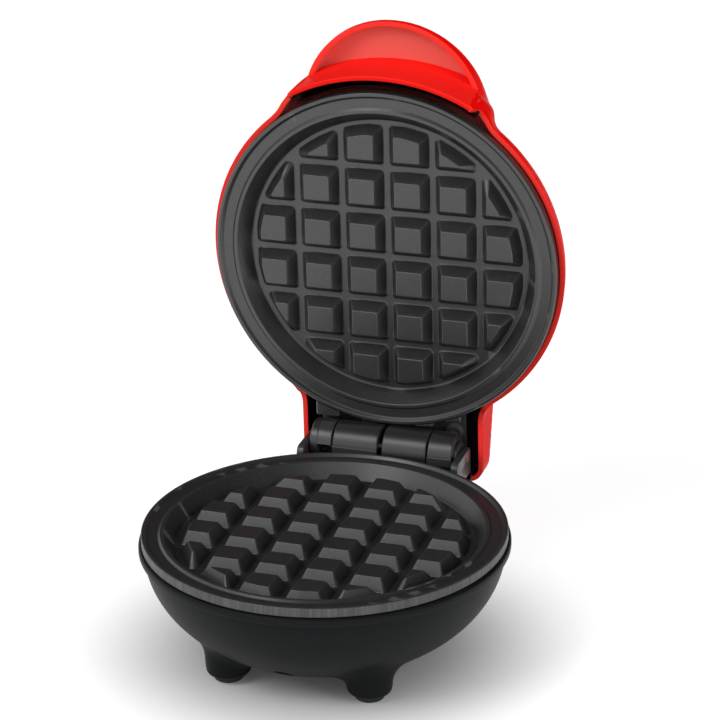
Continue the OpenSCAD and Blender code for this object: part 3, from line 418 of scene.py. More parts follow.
def makeFinish(name):
    finish = finishes[name]
    material = bpy.data.materials.new(name)
    material.use_nodes = True
    tree = material.node_tree
    shader = tree.nodes["Principled BSDF"]
    grainScale, grainDepth = finish["grain"]
    grain = effect(tree, "grain", Scale=grainScale)
    patches = effect(tree, "patches", Scale=surface["patchScale"], Contrast=surface["patchContrast"])
    wearAndHighlight = effect(tree, "wearAndHighlight", Width=surface["wearAndHighlightWidth"], Amount=surface["wearAndHighlightAmount"])
    colour = blended(tree, patches, finish["colour"], finish["tint"])
    if "flecks" in finish:
        flecks = effect(tree, "flecks", Scale=surface["fleckScale"], Share=surface["fleckShare"])
        colour = blended(tree, flecks, colour, finish["flecks"])
    if "streaks" in finish:
        streaks = effect(tree, "streaks", Count=surface["streakCount"], Contrast=surface["streakContrast"])
        colour = blended(tree, streaks, colour, finish["streaks"])
    # Crests take the edge colour: wear together with a painted highlight
    colour = blended(tree, wearAndHighlight, colour, finish["edge"])
    spread = spanNode(tree, end=finish["rough"])
    bump = place(tree, "ShaderNodeBump", in_Strength=1.0, in_Distance=grainDepth)
    tree.links.new(colour, shader.inputs["Base Color"])
    wire(tree, (patches, "Mask", spread, "Value"), (spread, "Result", shader, "Roughness"),
         (grain, "Height", bump, "Height"), (bump, "Normal", shader, "Normal"))
    for socket, key, usual in (("Metallic", "metallic", 0), ("Specular IOR Level", "specular", 0.5),
                               ("Coat Weight", "coat", 0), ("Coat Roughness", "coatRough", 0.1)):
        shader.inputs[socket].default_value = finish.get(key, usual)
    return material


materials = {name: makeFinish(name) for name in finishes}
print("materials made:", len(materials))

# Waffle plates

rimInR = plateR - plate["rimW"]
landOutR = rimInR - plate["slopeW"]
landInR = landOutR - plate["landW"]
beadR = landInR - plate["slopeW"]
wallTopR = beadR - plate["beadW"]
wellR = wallTopR - plate["wellRun"]
patternR = wellR - plate["gutterW"]
skirtZ = plate["rimH"] - plate["skirtDrop"]


def cellCentres():
    steps, pitch = plate["cellSteps"], plate["cellPitch"]
    return [(i * pitch, j * pitch) for i in steps for j in steps if abs(i) + abs(j) < plate["cellReach"]]


# The loop of a block's outline: a square cut by the pattern's circle, set in and with rounded corners. It has
# one point for each direction that its side can face, so the loops of every height match.
def blockLoop(centre, inset, corner, directions):
    half = plate["cellFoot"] / 2 - inset - corner
    radius = patternR - inset - corner
    low, high = np.array(centre) - half, np.array(centre) + half
    corners = [np.array([x, y]) for x in (low[0], high[0]) for y in (low[1], high[1])]
    stand = [point for point in corners if np.hypot(*point) <= radius]
    for axis in (0, 1):
        for side in (low[axis], high[axis]):
            if abs(side) >= radius:
                continue
            crossing = math.sqrt(radius ** 2 - side ** 2)
            for other in (-crossing, crossing):
                if low[1 - axis] - 1e-9 <= other <= high[1 - axis] + 1e-9:
                    stand.append(np.array([side, other] if axis == 0 else [other, side]))
    stand = np.array(stand)
    loop = []
    for direction in directions:
        onCircle = radius * direction
        inside = np.all(onCircle >= low) and np.all(onCircle <= high)
        loop.append((onCircle if inside else stand[np.argmax(stand @ direction)]) + corner * direction)
    return np.array(loop)


# Directions all round, with a pair close beside each axis
def blockDirections():
    steps = np.linspace(0, 90, plate["normalsPerQuarter"] + 1)
    steps[0], steps[-1] = 0.02, 89.98
    angles = np.radians(np.concatenate([90 * quarter + steps for quarter in range(4)]))
    return np.stack([np.cos(angles), np.sin(angles)], 1)


# Insets, heights and corner radii of a block from the channel floor to its top
def blockLevels():
    draft = (plate["cellFoot"] - plate["cellTop"]) / 2
    side = rounded([(-4, 0, 0), (0, 0, plate["footFillet"]), (draft, plate["cellH"], plate["topFillet"]),
                    (draft + 4, plate["cellH"], 0)], stepAngle=11)[1:-1]
    levels = []
    for inset, height in side:
        share = np.clip(inset / draft, 0, 1)
        corner = plate["cornerFoot"] + (plate["cornerTop"] - plate["cornerFoot"]) * share - min(inset, 0)
        levels.append((inset, height, corner))
    inset, height, corner = levels[-1]
    return levels + [(inset + 0.2, height, max(corner - 0.2, plate["cornerLeast"]))]


# The same ring without points that lie on each other
def tidyRing(ring, least=0.002):
    kept = [ring[0]]
    for point in ring[1:]:
        if np.hypot(*(point - kept[-1])) > least:
            kept.append(point)
    if np.hypot(*(kept[-1] - kept[0])) <= least:
        kept.pop()
    return np.array(kept)


def plateMesh():
    directions, levels = blockDirections(), blockLevels()
    parts, feet = [], []
    for centre in cellCentres():
        loops = []
        for inset, height, corner in levels:
            loop = blockLoop(centre, inset, corner, directions)
            loops.append(np.column_stack([loop, np.full(len(loop), height)]))
        feet.append(tidyRing(loops[0][:, :2]))
        parts.append(stacked(loops, capLast=True))
    rimH, wellH, landH, plateT = (plate[key] for key in ("rimH", "wellH", "landH", "plateT"))
    flangeR = rimInR - plate["flangeStep"]
    flangeInR = flangeR - plate["flangeW"]
    flangeZ = skirtZ - plate["flangeH"]
    profile = rounded([
        (wellR - plate["floorEdge"], 0, 0), (wellR, 0, 1.1), (wallTopR, wellH, 0.5), (beadR, wellH, 0.45),
        (landInR, landH, 0.5), (landOutR, landH, 0.5), (rimInR, rimH, 0.4), (plateR, rimH, 0.55),
        (plateR, skirtZ, 0.3), (flangeR, skirtZ, 0.2), (flangeR, flangeZ, 0.3), (flangeInR, flangeZ, 0.3),
        (flangeInR, skirtZ - plate["flangeIn"], 0.3), (wellR + plateT, -plateT, 0.4),
        (plate["underFlat"], -plateT, 0), (0, -plateT, 0)], stepAngle=11)[1:]
    parts.append(revolved(profile, plate["turns"]))
    flat, faces = filledBetween(profile[0][0] * unitRing(plate["turns"]), feet)
    parts.append((np.column_stack([flat, np.zeros(len(flat))]), faces))
    return together(*parts)


def paintSkirt(obj, middle, axis):
    for face in obj.data.polygons:
        offset = np.array(face.center) / millimetre - middle
        radial = offset - (offset @ axis) * axis
        distance = np.linalg.norm(radial)
        facing = np.array(face.normal) @ radial / max(distance, 1e-6)
        if distance > plateR - plate["skirtDepth"] and facing > plate["skirtFacing"]:
            face.material_index = 1


platePoints, plateFaces = plateMesh()
plateLooks = ["plate_coating", "plate_skirt"]
lowerPlate = piece("lowerPlateCast", (platePoints + [0, 0, wellZ], plateFaces), "base", "plate_coating",
                   ["lower_plate"], plateLooks, sharp=60, merge=0.003)
paintSkirt(lowerPlate, np.array([0, 0, wellZ]), np.array([0, 0, 1.0]))
piece("upperPlateCast", (platePoints * [1, 1, -1] + [0, 0, upperWellZ], plateFaces), "lid", "plate_coating",
      ["upper_plate"], plateLooks, sharp=60, merge=0.003)
print("plates made:", len(lowerPlate.data.polygons), "faces each")

# Base: the bowl with its legs and screw sockets, and the foot pads

bowl = {
    "lipH": 3.0, "lipStep": 1.6, "lipGap": 0.3, "lipSink": 0.2, "curveRise": 1.4, "curveH": 39.0,
    "flatR": 8.1, "clear": 7.5, "clearRound": 0.8, "curveEnd": 1.2, "wall": 2.2, "lipRound": 1.1,
    "spacing": 1.5, "capArc": 61.0, "innerTop": 36, "innerLow": 4, "innerFlat": 20, "seatGap": 0.3,
    "legX": 25.0, "legFront": 30.0, "legBack": 42.0, "legR": 7.6, "legTaper": 0.06, "legEdge": 1.6,
    "legFillet": 6.5, "legOutward": 0.55, "legStraight": 0.6, "legLimit": 1.0,
    "screwRing": 44.0, "screwAngles": (30, 150, 270), "socketR": 3.5, "socketRound": 0.5, "socketTop": 18.5,
    "socketEnd": 2.0,
}
pad = {"radius": 5.2, "height": 2.4, "edge": 1.2, "stemR": 2.2, "ringIn": 2.6, "ringOut": 3.4,
       "ringDeep": 0.25}
lipZ = wellZ + skirtZ - bowl["lipGap"]
bowlR = lipR - bowl["lipStep"]
bowlTopZ = lipZ - bowl["lipH"] + bowl["curveRise"]
legPlaces = [(x, y) for x in (-bowl["legX"], bowl["legX"]) for y in (-bowl["legFront"], bowl["legBack"])]


def bowlRadius(z):
    share = np.clip((bowlTopZ - z) / bowl["curveH"], 0, 1)
    return bowl["flatR"] + (bowlR - bowl["flatR"]) * np.sqrt(np.maximum(1 - share ** 2, 0))


def bowlHeight(r):
    share = np.clip((np.asarray(r, float) - bowl["flatR"]) / (bowlR - bowl["flatR"]), 0, 1)
    raw = bowlTopZ - bowl["curveH"] * np.sqrt(np.maximum(1 - share ** 2, 0))
    return smoothMax(raw, np.full_like(raw, bowl["clear"]), bowl["clearRound"])


# Radii along the bowl's curve from its middle, and the distance along it to each
arcRadii = np.concatenate([np.linspace(0, bowlR - 2, 800), bowlR - 2 * np.linspace(1, 0, 400)[1:] ** 2])
arcHeights = bowlHeight(arcRadii)
arcLengths = np.concatenate([[0], np.cumsum(np.hypot(np.diff(arcRadii), np.diff(arcHeights)))])


def spreadOut(points):
    r = np.hypot(points[:, 0], points[:, 1])
    return points[:, :2] * (np.interp(r, arcRadii, arcLengths) / np.maximum(r, 1e-9))[:, None]


def broughtBack(points):
    s = np.hypot(points[:, 0], points[:, 1])
    r = np.interp(s, arcLengths, arcRadii)
    return np.column_stack([points * (r / np.maximum(s, 1e-9))[:, None], bowlHeight(r)])


# A leg that runs into the bowl in a soft curve: one profile for each direction round the leg
def legMesh(cx, cy, count=72):
    profiles = []
    legR, taper, edgeR = bowl["legR"], bowl["legTaper"], bowl["legEdge"]
    lowest = pad["height"] + edgeR + bowl["legStraight"]
    for way in unitRing(count):
        outward = way @ np.array([cx, cy]) / math.hypot(cx, cy)

        def middleR(reach):
            return math.hypot(cx + reach * way[0], cy + reach * way[1])

        def surface(reach):
            return float(bowlHeight(middleR(reach)))

        def legAt(z):
            return legR + taper * (z - pad["height"])

        wallAt = legR
        for _ in range(12):
            wallAt = legAt(surface(wallAt))
        reach = wallAt + bowl["legFillet"] * (1 - bowl["legOutward"] * max(outward, 0))
        while middleR(reach) > bowlR - bowl["legLimit"]:
            reach -= 0.1
        slope = (surface(reach + 0.05) - surface(reach - 0.05)) / 0.1
        high = surface(reach)
        crossZ = max(high - slope * (reach - wallAt), lowest + bowl["legStraight"])
        crossR = legAt(crossZ)
        startZ = max(crossZ - math.hypot(reach - crossR, high - crossZ), lowest)
        t = np.linspace(0, 1, 15)[:, None]
        curve = (1 - t) ** 2 * [legAt(startZ), startZ] + 2 * t * (1 - t) * [crossR, crossZ]
        curve += t ** 2 * [reach, high]
        edge = [(legR - edgeR * across, pad["height"] + edgeR * up) for across, up in quarterTurn(7)]
        rise = [(legAt(z), z) for z in np.linspace(edge[-1][1], startZ, 5)[1:-1]]
        section = np.array([(pad["stemR"], pad["height"])] + edge + rise + curve.tolist())
        profiles.append(np.column_stack([[cx, cy] + section[:, :1] * way, section[:, 1]]))
    loops = list(np.stack(profiles, 1))
    return stacked(loops), loops[-1]


# A countersunk socket for a housing screw
def socketMesh(cx, cy, count=40):
    ring, loops = unitRing(count), []
    edge = bowl["socketRound"]
    rim = bowl["socketR"] + edge
    surface = bowlHeight(np.hypot(*([cx, cy] + rim * ring).T))
    for a in np.linspace(0, math.pi / 2, 5):
        plan = [cx, cy] + (rim - edge * math.sin(a)) * ring
        loops.append(np.column_stack([plan, surface + edge * (1 - math.cos(a))]))
    top, end = bowl["socketTop"], bowl["socketEnd"]
    for radius, z in ((bowl["socketR"], top), (end, top), (end, top + 1)):
        loops.append(np.column_stack([[cx, cy] + radius * ring, np.full(count, z)]))
    return stacked(loops, capLast=True), loops[0]


# Points spread evenly over a disc, apart from those close to a ring or inside one
def looseBetween(reach, rings):
    spacing, filler = bowl["spacing"], []
    for k, s in enumerate(np.arange(0, reach - spacing * 0.6, spacing)):
        around = max(1, round(2 * math.pi * s / spacing))
        angles = (np.arange(around) + 0.5 * (k % 2)) * 2 * math.pi / around
        filler += (s * np.stack([np.cos(angles), np.sin(angles)], 1)).tolist()
    filler = np.array(filler)
    near = np.zeros(len(filler), bool)
    for ring in rings:
        apart = filler[:, None] - ring[None]
        near |= np.min(np.hypot(apart[..., 0], apart[..., 1]), 1) < 0.55 * spacing
        near |= np.array([insideRing(point, ring) for point in filler])
    return filler[~near]


def baseMesh():
    made = [legMesh(x, y) for x, y in legPlaces]
    for angle in np.radians(bowl["screwAngles"]):
        made.append(socketMesh(bowl["screwRing"] * math.cos(angle), bowl["screwRing"] * math.sin(angle)))
    parts, holes = [shape for shape, _ in made], [hole for _, hole in made]
    rings = [spreadOut(hole) for hole in holes]
    reach = float(np.interp(bowl["capArc"], arcRadii, arcLengths))
    flat, faces = filledBetween(reach * unitRing(plate["turns"]), rings, looseBetween(reach, rings))
    lifted = broughtBack(flat)
    known, knownFlat = np.concatenate(holes), np.concatenate(rings)
    for i, point in enumerate(flat):
        gaps = np.hypot(*(knownFlat - point).T)
        nearest = int(np.argmin(gaps))
        if gaps[nearest] < 1e-3:
            lifted[i] = known[nearest]
    parts.append((lifted, faces))
    curveTopZ, brimZ = bowlTopZ - bowl["curveEnd"], lipZ - bowl["lipH"] + bowl["lipSink"]
    heights = np.linspace(float(bowlHeight(bowl["capArc"])), curveTopZ, 9)
    outside = [(bowl["capArc"], heights[0])] + [(float(bowlRadius(z)), z) for z in heights[1:]]
    seatR = rimInR - plate["flangeStep"] + bowl["seatGap"]
    rim = rounded([(bowlR, curveTopZ, 0), (bowlR, brimZ, 0.3), (lipR, brimZ, 0.5),
                   (lipR, lipZ, bowl["lipRound"]), (seatR, lipZ, 0.4), (seatR, bowlTopZ - bowl["wall"], 0)],
                  stepAngle=11)
    inner = [(min(max(float(bowlRadius(z)) - bowl["wall"], 0), seatR), z + 0.2)
             for z in np.linspace(bowl["innerTop"], bowl["clear"] + bowl["innerLow"], 12)]
    floorZ = bowl["clear"] + bowl["wall"]
    inner += [(bowl["innerFlat"], floorZ), (0, floorZ)]
    parts.append(revolved(outside + rim[1:].tolist() + inner, plate["turns"]))
    return together(*parts)


def padMesh():
    side = [(pad["radius"] - pad["edge"] * across, pad["edge"] * up) for across, up in quarterTurn(8)]
    ringIn, ringOut, deep = pad["ringIn"], pad["ringOut"], pad["ringDeep"]
    under = rounded([(ringOut - 0.4, 0, 0.1), (ringOut, 0, 0), (side[0][0], 0, 0)]).tolist()
    top = pad["height"] - 0.02
    profile = [(0, deep), (ringIn, deep)] + under + side + [(pad["radius"] - 0.3, top), (0, top)]
    points, faces = revolved(profile, 64)
    return together(*[(points + [x, y, 0], faces) for x, y in legPlaces])


baseShell = piece("baseBowl", baseMesh(), "base", "base_plastic", ["lower_housing"], sharp=50, weighted=False)
piece("footPads", padMesh(), "base", "pad_rubber", ["foot_pads"], sharp=50)
print("base made:", len(baseShell.data.polygons), "faces")

# Lid shell: dome, grip and hinge cover in one skin

lid = {
    "over": 1.9, "reveal": 3.8, "edgeH": 1.2, "step": 0.4, "curveH": 27.0, "cutH": 25.0, "flatR": 8.1,
    "topRound": 3.0, "lipRound": 0.5, "lipBlend": 0.3, "shellT": 1.75, "rimRound": 0.4,
    "turns": 720, "rises": 72, "riseCurve": 1.35, "closer": 4, "closeFrom": (22, 26), "closeTo": (36, 41),
    "farOut": 140.0, "marches": 190, "stride": 0.55, "startR": 64.0, "startRounds": 5,
    "handleR": 32.6, "handleSink": 13.2, "handleLift": 10.2, "handleEdge": 4.5, "handleSlope": 0.172,
    "handleRoot": -20, "handleRound": 3.4, "handleBlend": 7.0,
    "coverHalf": 33.8, "coverReach": 13.0, "coverCorner": 6.0, "coverEnd": 7.0, "coverBevel": 3.0,
    "coverMid": (42.0, 4.0), "coverRoot": (20.0, 2.0), "coverRound": 2.6, "coverBlend": 5.0,
    "bevelRound": 1.5, "midRound": 4,
    "coverFade": (36.0, 12.0), "paintedShadeFromY": 30,
    "apronCorner": (33.4, -60.4), "apronLean": (0.905, 0.426), "apronOut": 4.6, "apronTop": 13.5,
    "apronSlope": 0.9, "apronEnd": -52.5, "apronBlend": (1.5, 5.0), "apronBack": (-61.0, -54.0),
    "apronHigh": (9.0, 15.0), "apronCornerR": 1.4, "apronRound": 4.0,
    "gripRim": (26.4, 28.0), "apronRim": (28.9, 31.2), "apronDrop": 4.9, "coverRim": (31.5, 33.0),
}
lidZ = upperWellZ - plate["rimH"] + lid["reveal"]
lidR = plateR + lid["over"] - boxMargin
domeZ = lidZ + lid["edgeH"]
domeR = lidR - lid["step"]
domeTopZ = domeZ + lid["cutH"] - 2 * boxMargin
handleY = -(lidR - lid["handleSink"])
handleZ = lidZ + lid["handleLift"]
coverY = hingeY + lid["coverReach"]


def slantedPlane(y, z, y1, z1, y2, z2):
    length = math.hypot(y2 - y1, z2 - z1)
    return ((z - z1) * (y2 - y1) - (y - y1) * (z2 - z1)) / length


# The fields are signed distances to the lid's outside, drawn as solids that go on downward past the rim

def domeField(r, z):
    a, c = domeR - lid["flatR"], lid["curveH"]
    rr, zz = np.maximum(r - lid["flatR"], 0), np.maximum(z - domeZ, 0)
    k0, k1 = np.hypot(rr / a, zz / c), np.hypot(rr / a ** 2, zz / c ** 2)
    dome = np.where(k0 > 1e-6, k0 * (k0 - 1) / np.maximum(k1, 1e-9), -10)
    dome = smoothMax(dome, z - domeTopZ, lid["topRound"])
    return smoothMin(dome, smoothMax(r - lidR, z - domeZ, lid["lipRound"]), lid["lipBlend"])


def handleField(x, y, z):
    side = np.hypot(x, y - handleY) - lid["handleR"]
    tipY, rootY, topZ = handleY - lid["handleR"] - 1, lid["handleRoot"], handleZ + lid["handleEdge"]
    top = slantedPlane(y, z, tipY, topZ, rootY, topZ + lid["handleSlope"] * (rootY - tipY))
    return smoothMax(side, top, lid["handleRound"])


def coverField(x, y, z):
    corner = lid["coverCorner"]
    qx, qy = np.abs(x) - (lid["coverHalf"] - corner), y - (coverY - corner)
    plan = np.hypot(np.maximum(qx, 0), np.maximum(qy, 0)) + np.minimum(np.maximum(qx, qy), 0) - corner
    endZ = domeZ + lid["coverEnd"]
    bevel = (y - coverY + z - endZ) / math.sqrt(2)
    (midY, midDrop), (rootY, rootDrop) = lid["coverMid"], lid["coverRoot"]
    midZ, rootZ = domeTopZ - midDrop, domeTopZ - rootDrop
    slope = -slantedPlane(y, z, coverY - lid["coverBevel"], endZ + lid["coverBevel"], midY, midZ)
    flat = -slantedPlane(y, z, midY, midZ, rootY, rootZ)
    cover = smoothMax(smoothMax(plan, bevel, lid["bevelRound"]), smoothMax(slope, flat, lid["midRound"]),
                      lid["coverRound"])
    far, near = lid["coverFade"]
    cover = cover + lid["coverBlend"] * smoothStep(-far, -near, -y)
    return np.maximum(cover, -y)


# The skirt in front of the grip, with how broadly it blends into the dome at each point
def apronField(x, y, z, r):
    (cornerX, cornerY), (leanX, leanY), slope = lid["apronCorner"], lid["apronLean"], lid["apronSlope"]
    leg = leanX * (np.abs(x) - cornerX) - leanY * (y - cornerY)
    apron = smoothMax(r - (lidR + lid["apronOut"]), leg, lid["apronCornerR"])
    top = (z - (lidZ + lid["apronTop"]) + slope * (r - lidR)) / math.hypot(1, slope)
    apron = smoothMax(smoothMax(apron, top, lid["apronRound"]), y - lid["apronEnd"], lid["apronRound"])
    low, high = lid["apronHigh"]
    broad = np.maximum(smoothStep(*lid["apronBack"], y), smoothStep(lidZ + low, lidZ + high, z))
    narrowest, broadest = lid["apronBlend"]
    return apron, narrowest + (broadest - narrowest) * broad


def lidField(x, y, z):
    r = np.hypot(x, y)
    upper = smoothMin(domeField(r, z), handleField(x, y, z), lid["handleBlend"])
    return smoothMin(smoothMin(upper, *apronField(x, y, z, r)), coverField(x, y, z), lid["coverBlend"])


# Degrees between each direction round the lid and its front
def fromFront(turn):
    return np.abs(np.degrees(np.angle(np.exp(1j * (turn + math.pi / 2)))))


# Height of the shell's rim at each direction round the lid: the grip's rim lies back, the cover's a little
def rimHeight(turn):
    front, grip = fromFront(turn), smoothStep(*lid["gripRim"], fromFront(turn))
    high = lidZ + (handleZ - lidZ) * (1 - grip)
    high = high - lid["apronDrop"] * grip * (1 - smoothStep(*lid["apronRim"], front))
    return high + (domeZ - lidZ) * (1 - smoothStep(*lid["coverRim"], fromFront(-turn)))


# Rays from the middle of the rim's plane meet the outside, closer together beside the grip's ends
def lidSkin():
    count = lid["turns"]
    even = np.linspace(-math.pi, math.pi, 4 * count + 1)
    front = fromFront(even)
    close = smoothStep(*lid["closeFrom"], front) * (1 - smoothStep(*lid["closeTo"], front))
    closeness = 1 + lid["closer"] * close
    reached = np.concatenate([[0], np.cumsum((closeness[1:] + closeness[:-1]) / 2)])
    turn = np.interp(np.arange(count) / count, reached / reached[-1], even)
    way = np.stack([np.cos(turn), np.sin(turn)], 1)
    baseZ = lidZ - 0.1
    rim = rimHeight(turn)

    def rayHit(elevation):
        reach = np.full(elevation.shape, lid["farOut"])
        c, s = np.cos(elevation), np.sin(elevation)
        for _ in range(lid["marches"]):
            field = lidField(reach * c * way[:, 0], reach * c * way[:, 1], baseZ + reach * s)
            reach = np.maximum(reach - lid["stride"] * field, 1.0)
        return reach * c, baseZ + reach * s

    start = np.arctan2(rim - baseZ, lid["startR"])
    for _ in range(lid["startRounds"]):
        start = np.arctan2(rim - baseZ, rayHit(start)[0])
    loops = []
    for share in np.linspace(0, 1, lid["rises"]) ** lid["riseCurve"]:
        out, high = rayHit(start + (math.pi / 2 - start) * share)
        loops.append(np.column_stack([out[:, None] * way, high]))
    loops[0][:, 2] = rim
    return stacked(loops)


lidShell = piece("lidShell", lidSkin(), "lid", "lid_plastic", ["upper_housing"],
                 ["lid_plastic", "lid_inside_with_sheen", "lid_plastic", "cover_inside"], sharp=60, weighted=False)
# Faces past paintedShadeFromY take index 2, so their inner side gets the near-black red of painted shade inside
# the hinge cover
for face in lidShell.data.polygons:
    face.material_index = 2 if closedAgain(face.center)[1] > lid["paintedShadeFromY"] else 0
thick = lidShell.modifiers.new("wall", "SOLIDIFY")
thick.thickness, thick.offset, thick.use_rim = lid["shellT"] * millimetre, -1, True
# Inner faces of the wall take the next finish: the salmon red with painted sheen, or painted shade in the cover
thick.material_offset = 1
edge = lidShell.modifiers.new("softEdges", "BEVEL")
edge.width, edge.segments = lid["rimRound"] * millimetre, 3
edge.limit_method, edge.angle_limit = "ANGLE", math.radians(55)
print("lid made:", len(lidShell.data.polygons), "faces")

# Grip guard: the wall behind the finger pocket, with the slot and the lid's lip behind it

guard = {
    "slotW": 2.8, "wallT": 1.7, "drop": 5.0, "cornerAngle": 28.6, "cornerR": 1.5, "legEnd": (34.7, -57.0),
    "slotDeep": 11.2, "backZ": 66.5, "backEnd": 5.5, "lipIn": 0.8, "lipT": 0.6, "lipBack": 1.6,
    "lipRise": 1.2, "round": 0.5, "backSpan": (26.0, 29.5), "slotSpan": (28.0, 29.6),
    "edgeSpan": (28.9, 31.0), "paintedShadeOut": 0.05, "paintedShadeLow": 3.2,
}


# The grip wall's outside in plan: an arc, then a corner and a leg that turns in to the lid at each end
def guardPath():
    radius = lidR + guard["slotW"] + guard["wallT"]
    corner = math.radians(guard["cornerAngle"])
    swing = np.linspace(-corner, corner, 85)[3:-3]

    def onArc(angle):
        return radius * math.sin(angle), -radius * math.cos(angle)

    bend = rounded([(*onArc(swing[-1]), 0), (*onArc(corner), guard["cornerR"]), (*guard["legEnd"], 0)],
                   stepAngle=9)
    leg = [bend[-2] + (bend[-1] - bend[-2]) * t for t in np.linspace(0, 1, 6)[1:]]
    end = bend[:-1].tolist() + [list(point) for point in leg]
    return np.array([(-x, y) for x, y in reversed(end)] + [onArc(a) for a in swing[1:-1]] + end)


def guardMesh():
    path = guardPath()
    along = np.gradient(path, axis=0)
    along /= np.linalg.norm(along, axis=1)[:, None]
    inner = path - guard["wallT"] * np.column_stack([along[:, 1], -along[:, 0]])
    frontZ, slotZ, lipZ = lidZ - guard["drop"], lidZ + guard["slotDeep"], lidZ + guard["lipBack"]
    lipOut = lidR - guard["lipIn"]
    lipIn = lipOut - guard["lipT"]
    shaped = []
    for outer, inside in zip(path, inner):
        turn = math.atan2(inside[0], -inside[1])
        away = abs(math.degrees(math.atan2(outer[0], -outer[1])))
        backShare, slotShare, edgeShare = (float(smoothStep(*guard[key], away))
                                           for key in ("backSpan", "slotSpan", "edgeSpan"))
        back = guard["backZ"] + (lidZ + guard["backEnd"] - guard["backZ"]) * backShare
        deep = slotZ + (lipZ + guard["lipRise"] - slotZ) * slotShare
        edgeZ = frontZ + (lidZ - 0.1 - frontZ) * edgeShare
        reach, wall, soft = max(np.hypot(*inside), lipOut + 0.15), np.hypot(*outer), guard["round"]
        section = rounded([
            (wall - reach, back, 0.3), (wall - reach, edgeZ, soft), (0, edgeZ, soft), (0, deep, 0.3),
            (lipOut - reach, deep, 0.3), (lipOut - reach, lipZ, 0.25), (lipIn - reach, lipZ, 0.25),
            (lipIn - reach, max(back, deep + 1), 0)], closed=True, stepCount=4)
        run = np.array([math.sin(turn), -math.cos(turn)])
        toward = (outer - reach * run) / max(wall - reach, 0.2)
        across = section[:, :1]
        plan = np.where(across > 0, reach * run + across * toward, (reach + across) * run)
        shaped.append(np.column_stack([plan, section[:, 1]]))
    return stacked(shaped, capFirst=True, capLast=True)


gripGuard = piece("gripGuard", guardMesh(), "lid", "lid_plastic", looks=["lid_plastic", "cover_inside"],
                  sharp=50)
# Faces inside the slot take the near-black red as painted shade
slotR = lidR + guard["slotW"] + guard["paintedShadeOut"]
for face in gripGuard.data.polygons:
    x, y, z = closedAgain(face.center)
    face.material_index = int(np.hypot(x, y) < slotR and z > lidZ - guard["paintedShadeLow"])
print("grip made")

# Hinge: outlines are given from the pin's centre, towards +Y and +Z

hinge = {
    "knuckleR": 8.0, "half": 27.0, "pinR": 2.0, "pinFit": 0.06, "edge": 0.5, "sleeveL": 3.0, "sleeveR": 5.2,
    "spanA": (-27.0, -18.95), "spanB": (-18.45, -1.7), "spanC": (0.0, 16.4), "spanD": (16.9, 26.0),
    "notchW": 5.0, "notchFrom": -12.0, "notchTo": 128.0, "toothW": 26.0, "stopGap": 4.0,
    "cheekT": 2.7, "cheekGap": 0.35, "earTop": 2.1, "earBack": 3.6, "earFront": -13.6, "earMiddle": -4.0,
    "towerTop": -6.7, "towerLow": -21.0, "towerBack": 4.6, "towerEnd": 4.0, "towerFoot": -14.0,
    "towerIn": 2.6, "armBack": 4.5, "armTop": -3.0, "armLedge": (1.5, -1.6, -2.6), "bracketHalf": 5.5,
    "barLift": 2.0, "barFront": 3.5, "barBack": 6.0, "barSpan": (1.4, 4.2), "faceGap": 0.35,
    "faceEdge": -9.2, "faceCut": 3.0, "faceT": 4.6, "faceRise": 0.15, "faceC": 10.0, "faceD": 21.5,
}
boreR = hinge["pinR"] + hinge["pinFit"]
cheekIn = hinge["half"] + hinge["cheekGap"]
cheekOut = cheekIn + hinge["cheekT"]


# A knuckle along X, bored for the pin
def knuckle(x1, x2, radius=hinge["knuckleR"]):
    soft = hinge["edge"]
    section = rounded([(boreR, x1, 0), (radius, x1, soft), (radius, x2, soft), (boreR, x2, 0)], stepAngle=18)
    points, faces = revolved(section, 96, closed=True)
    return np.column_stack([points[:, 2], hingeY + points[:, 0], hingeZ + points[:, 1]]), faces


# A part turn of a knuckle round its sleeve, from one angle to another, with 0 at the front and 90 below
def knucklePart(x1, x2, start, end, radius, inner):
    section = rounded([(inner, x1, 0), (radius, x1, 0.3), (radius, x2, 0.3), (inner, x2, 0)], stepAngle=30)
    loops = []
    for angle in np.radians(np.linspace(start, end, max(4, round(abs(end - start) / 5)))):
        loops.append(np.column_stack([section[:, 1], hingeY - section[:, 0] * math.cos(angle),
                                      hingeZ - section[:, 0] * math.sin(angle)]))
    return stacked(loops, capFirst=True, capLast=True)


# A block along X with a rounded outline and softened ends
def bar(x1, x2, outline, edge=0.4):
    outline = rounded([(hingeY + y, hingeZ + z, r) for y, z, r in outline], closed=True, stepAngle=18)
    middle = (outline.max(0) + outline.min(0)) / 2
    half = (outline.max(0) - outline.min(0)) / 2
    soft = 0.29 * edge
    ends = ((x1, edge), (x1 + soft, soft), (x1 + edge, 0), (x2 - edge, 0), (x2 - soft, soft), (x2, edge))
    return stacked([atX(x, middle + (outline - middle) * (1 - inset / half)) for x, inset in ends],
                   capFirst=True, capLast=True)


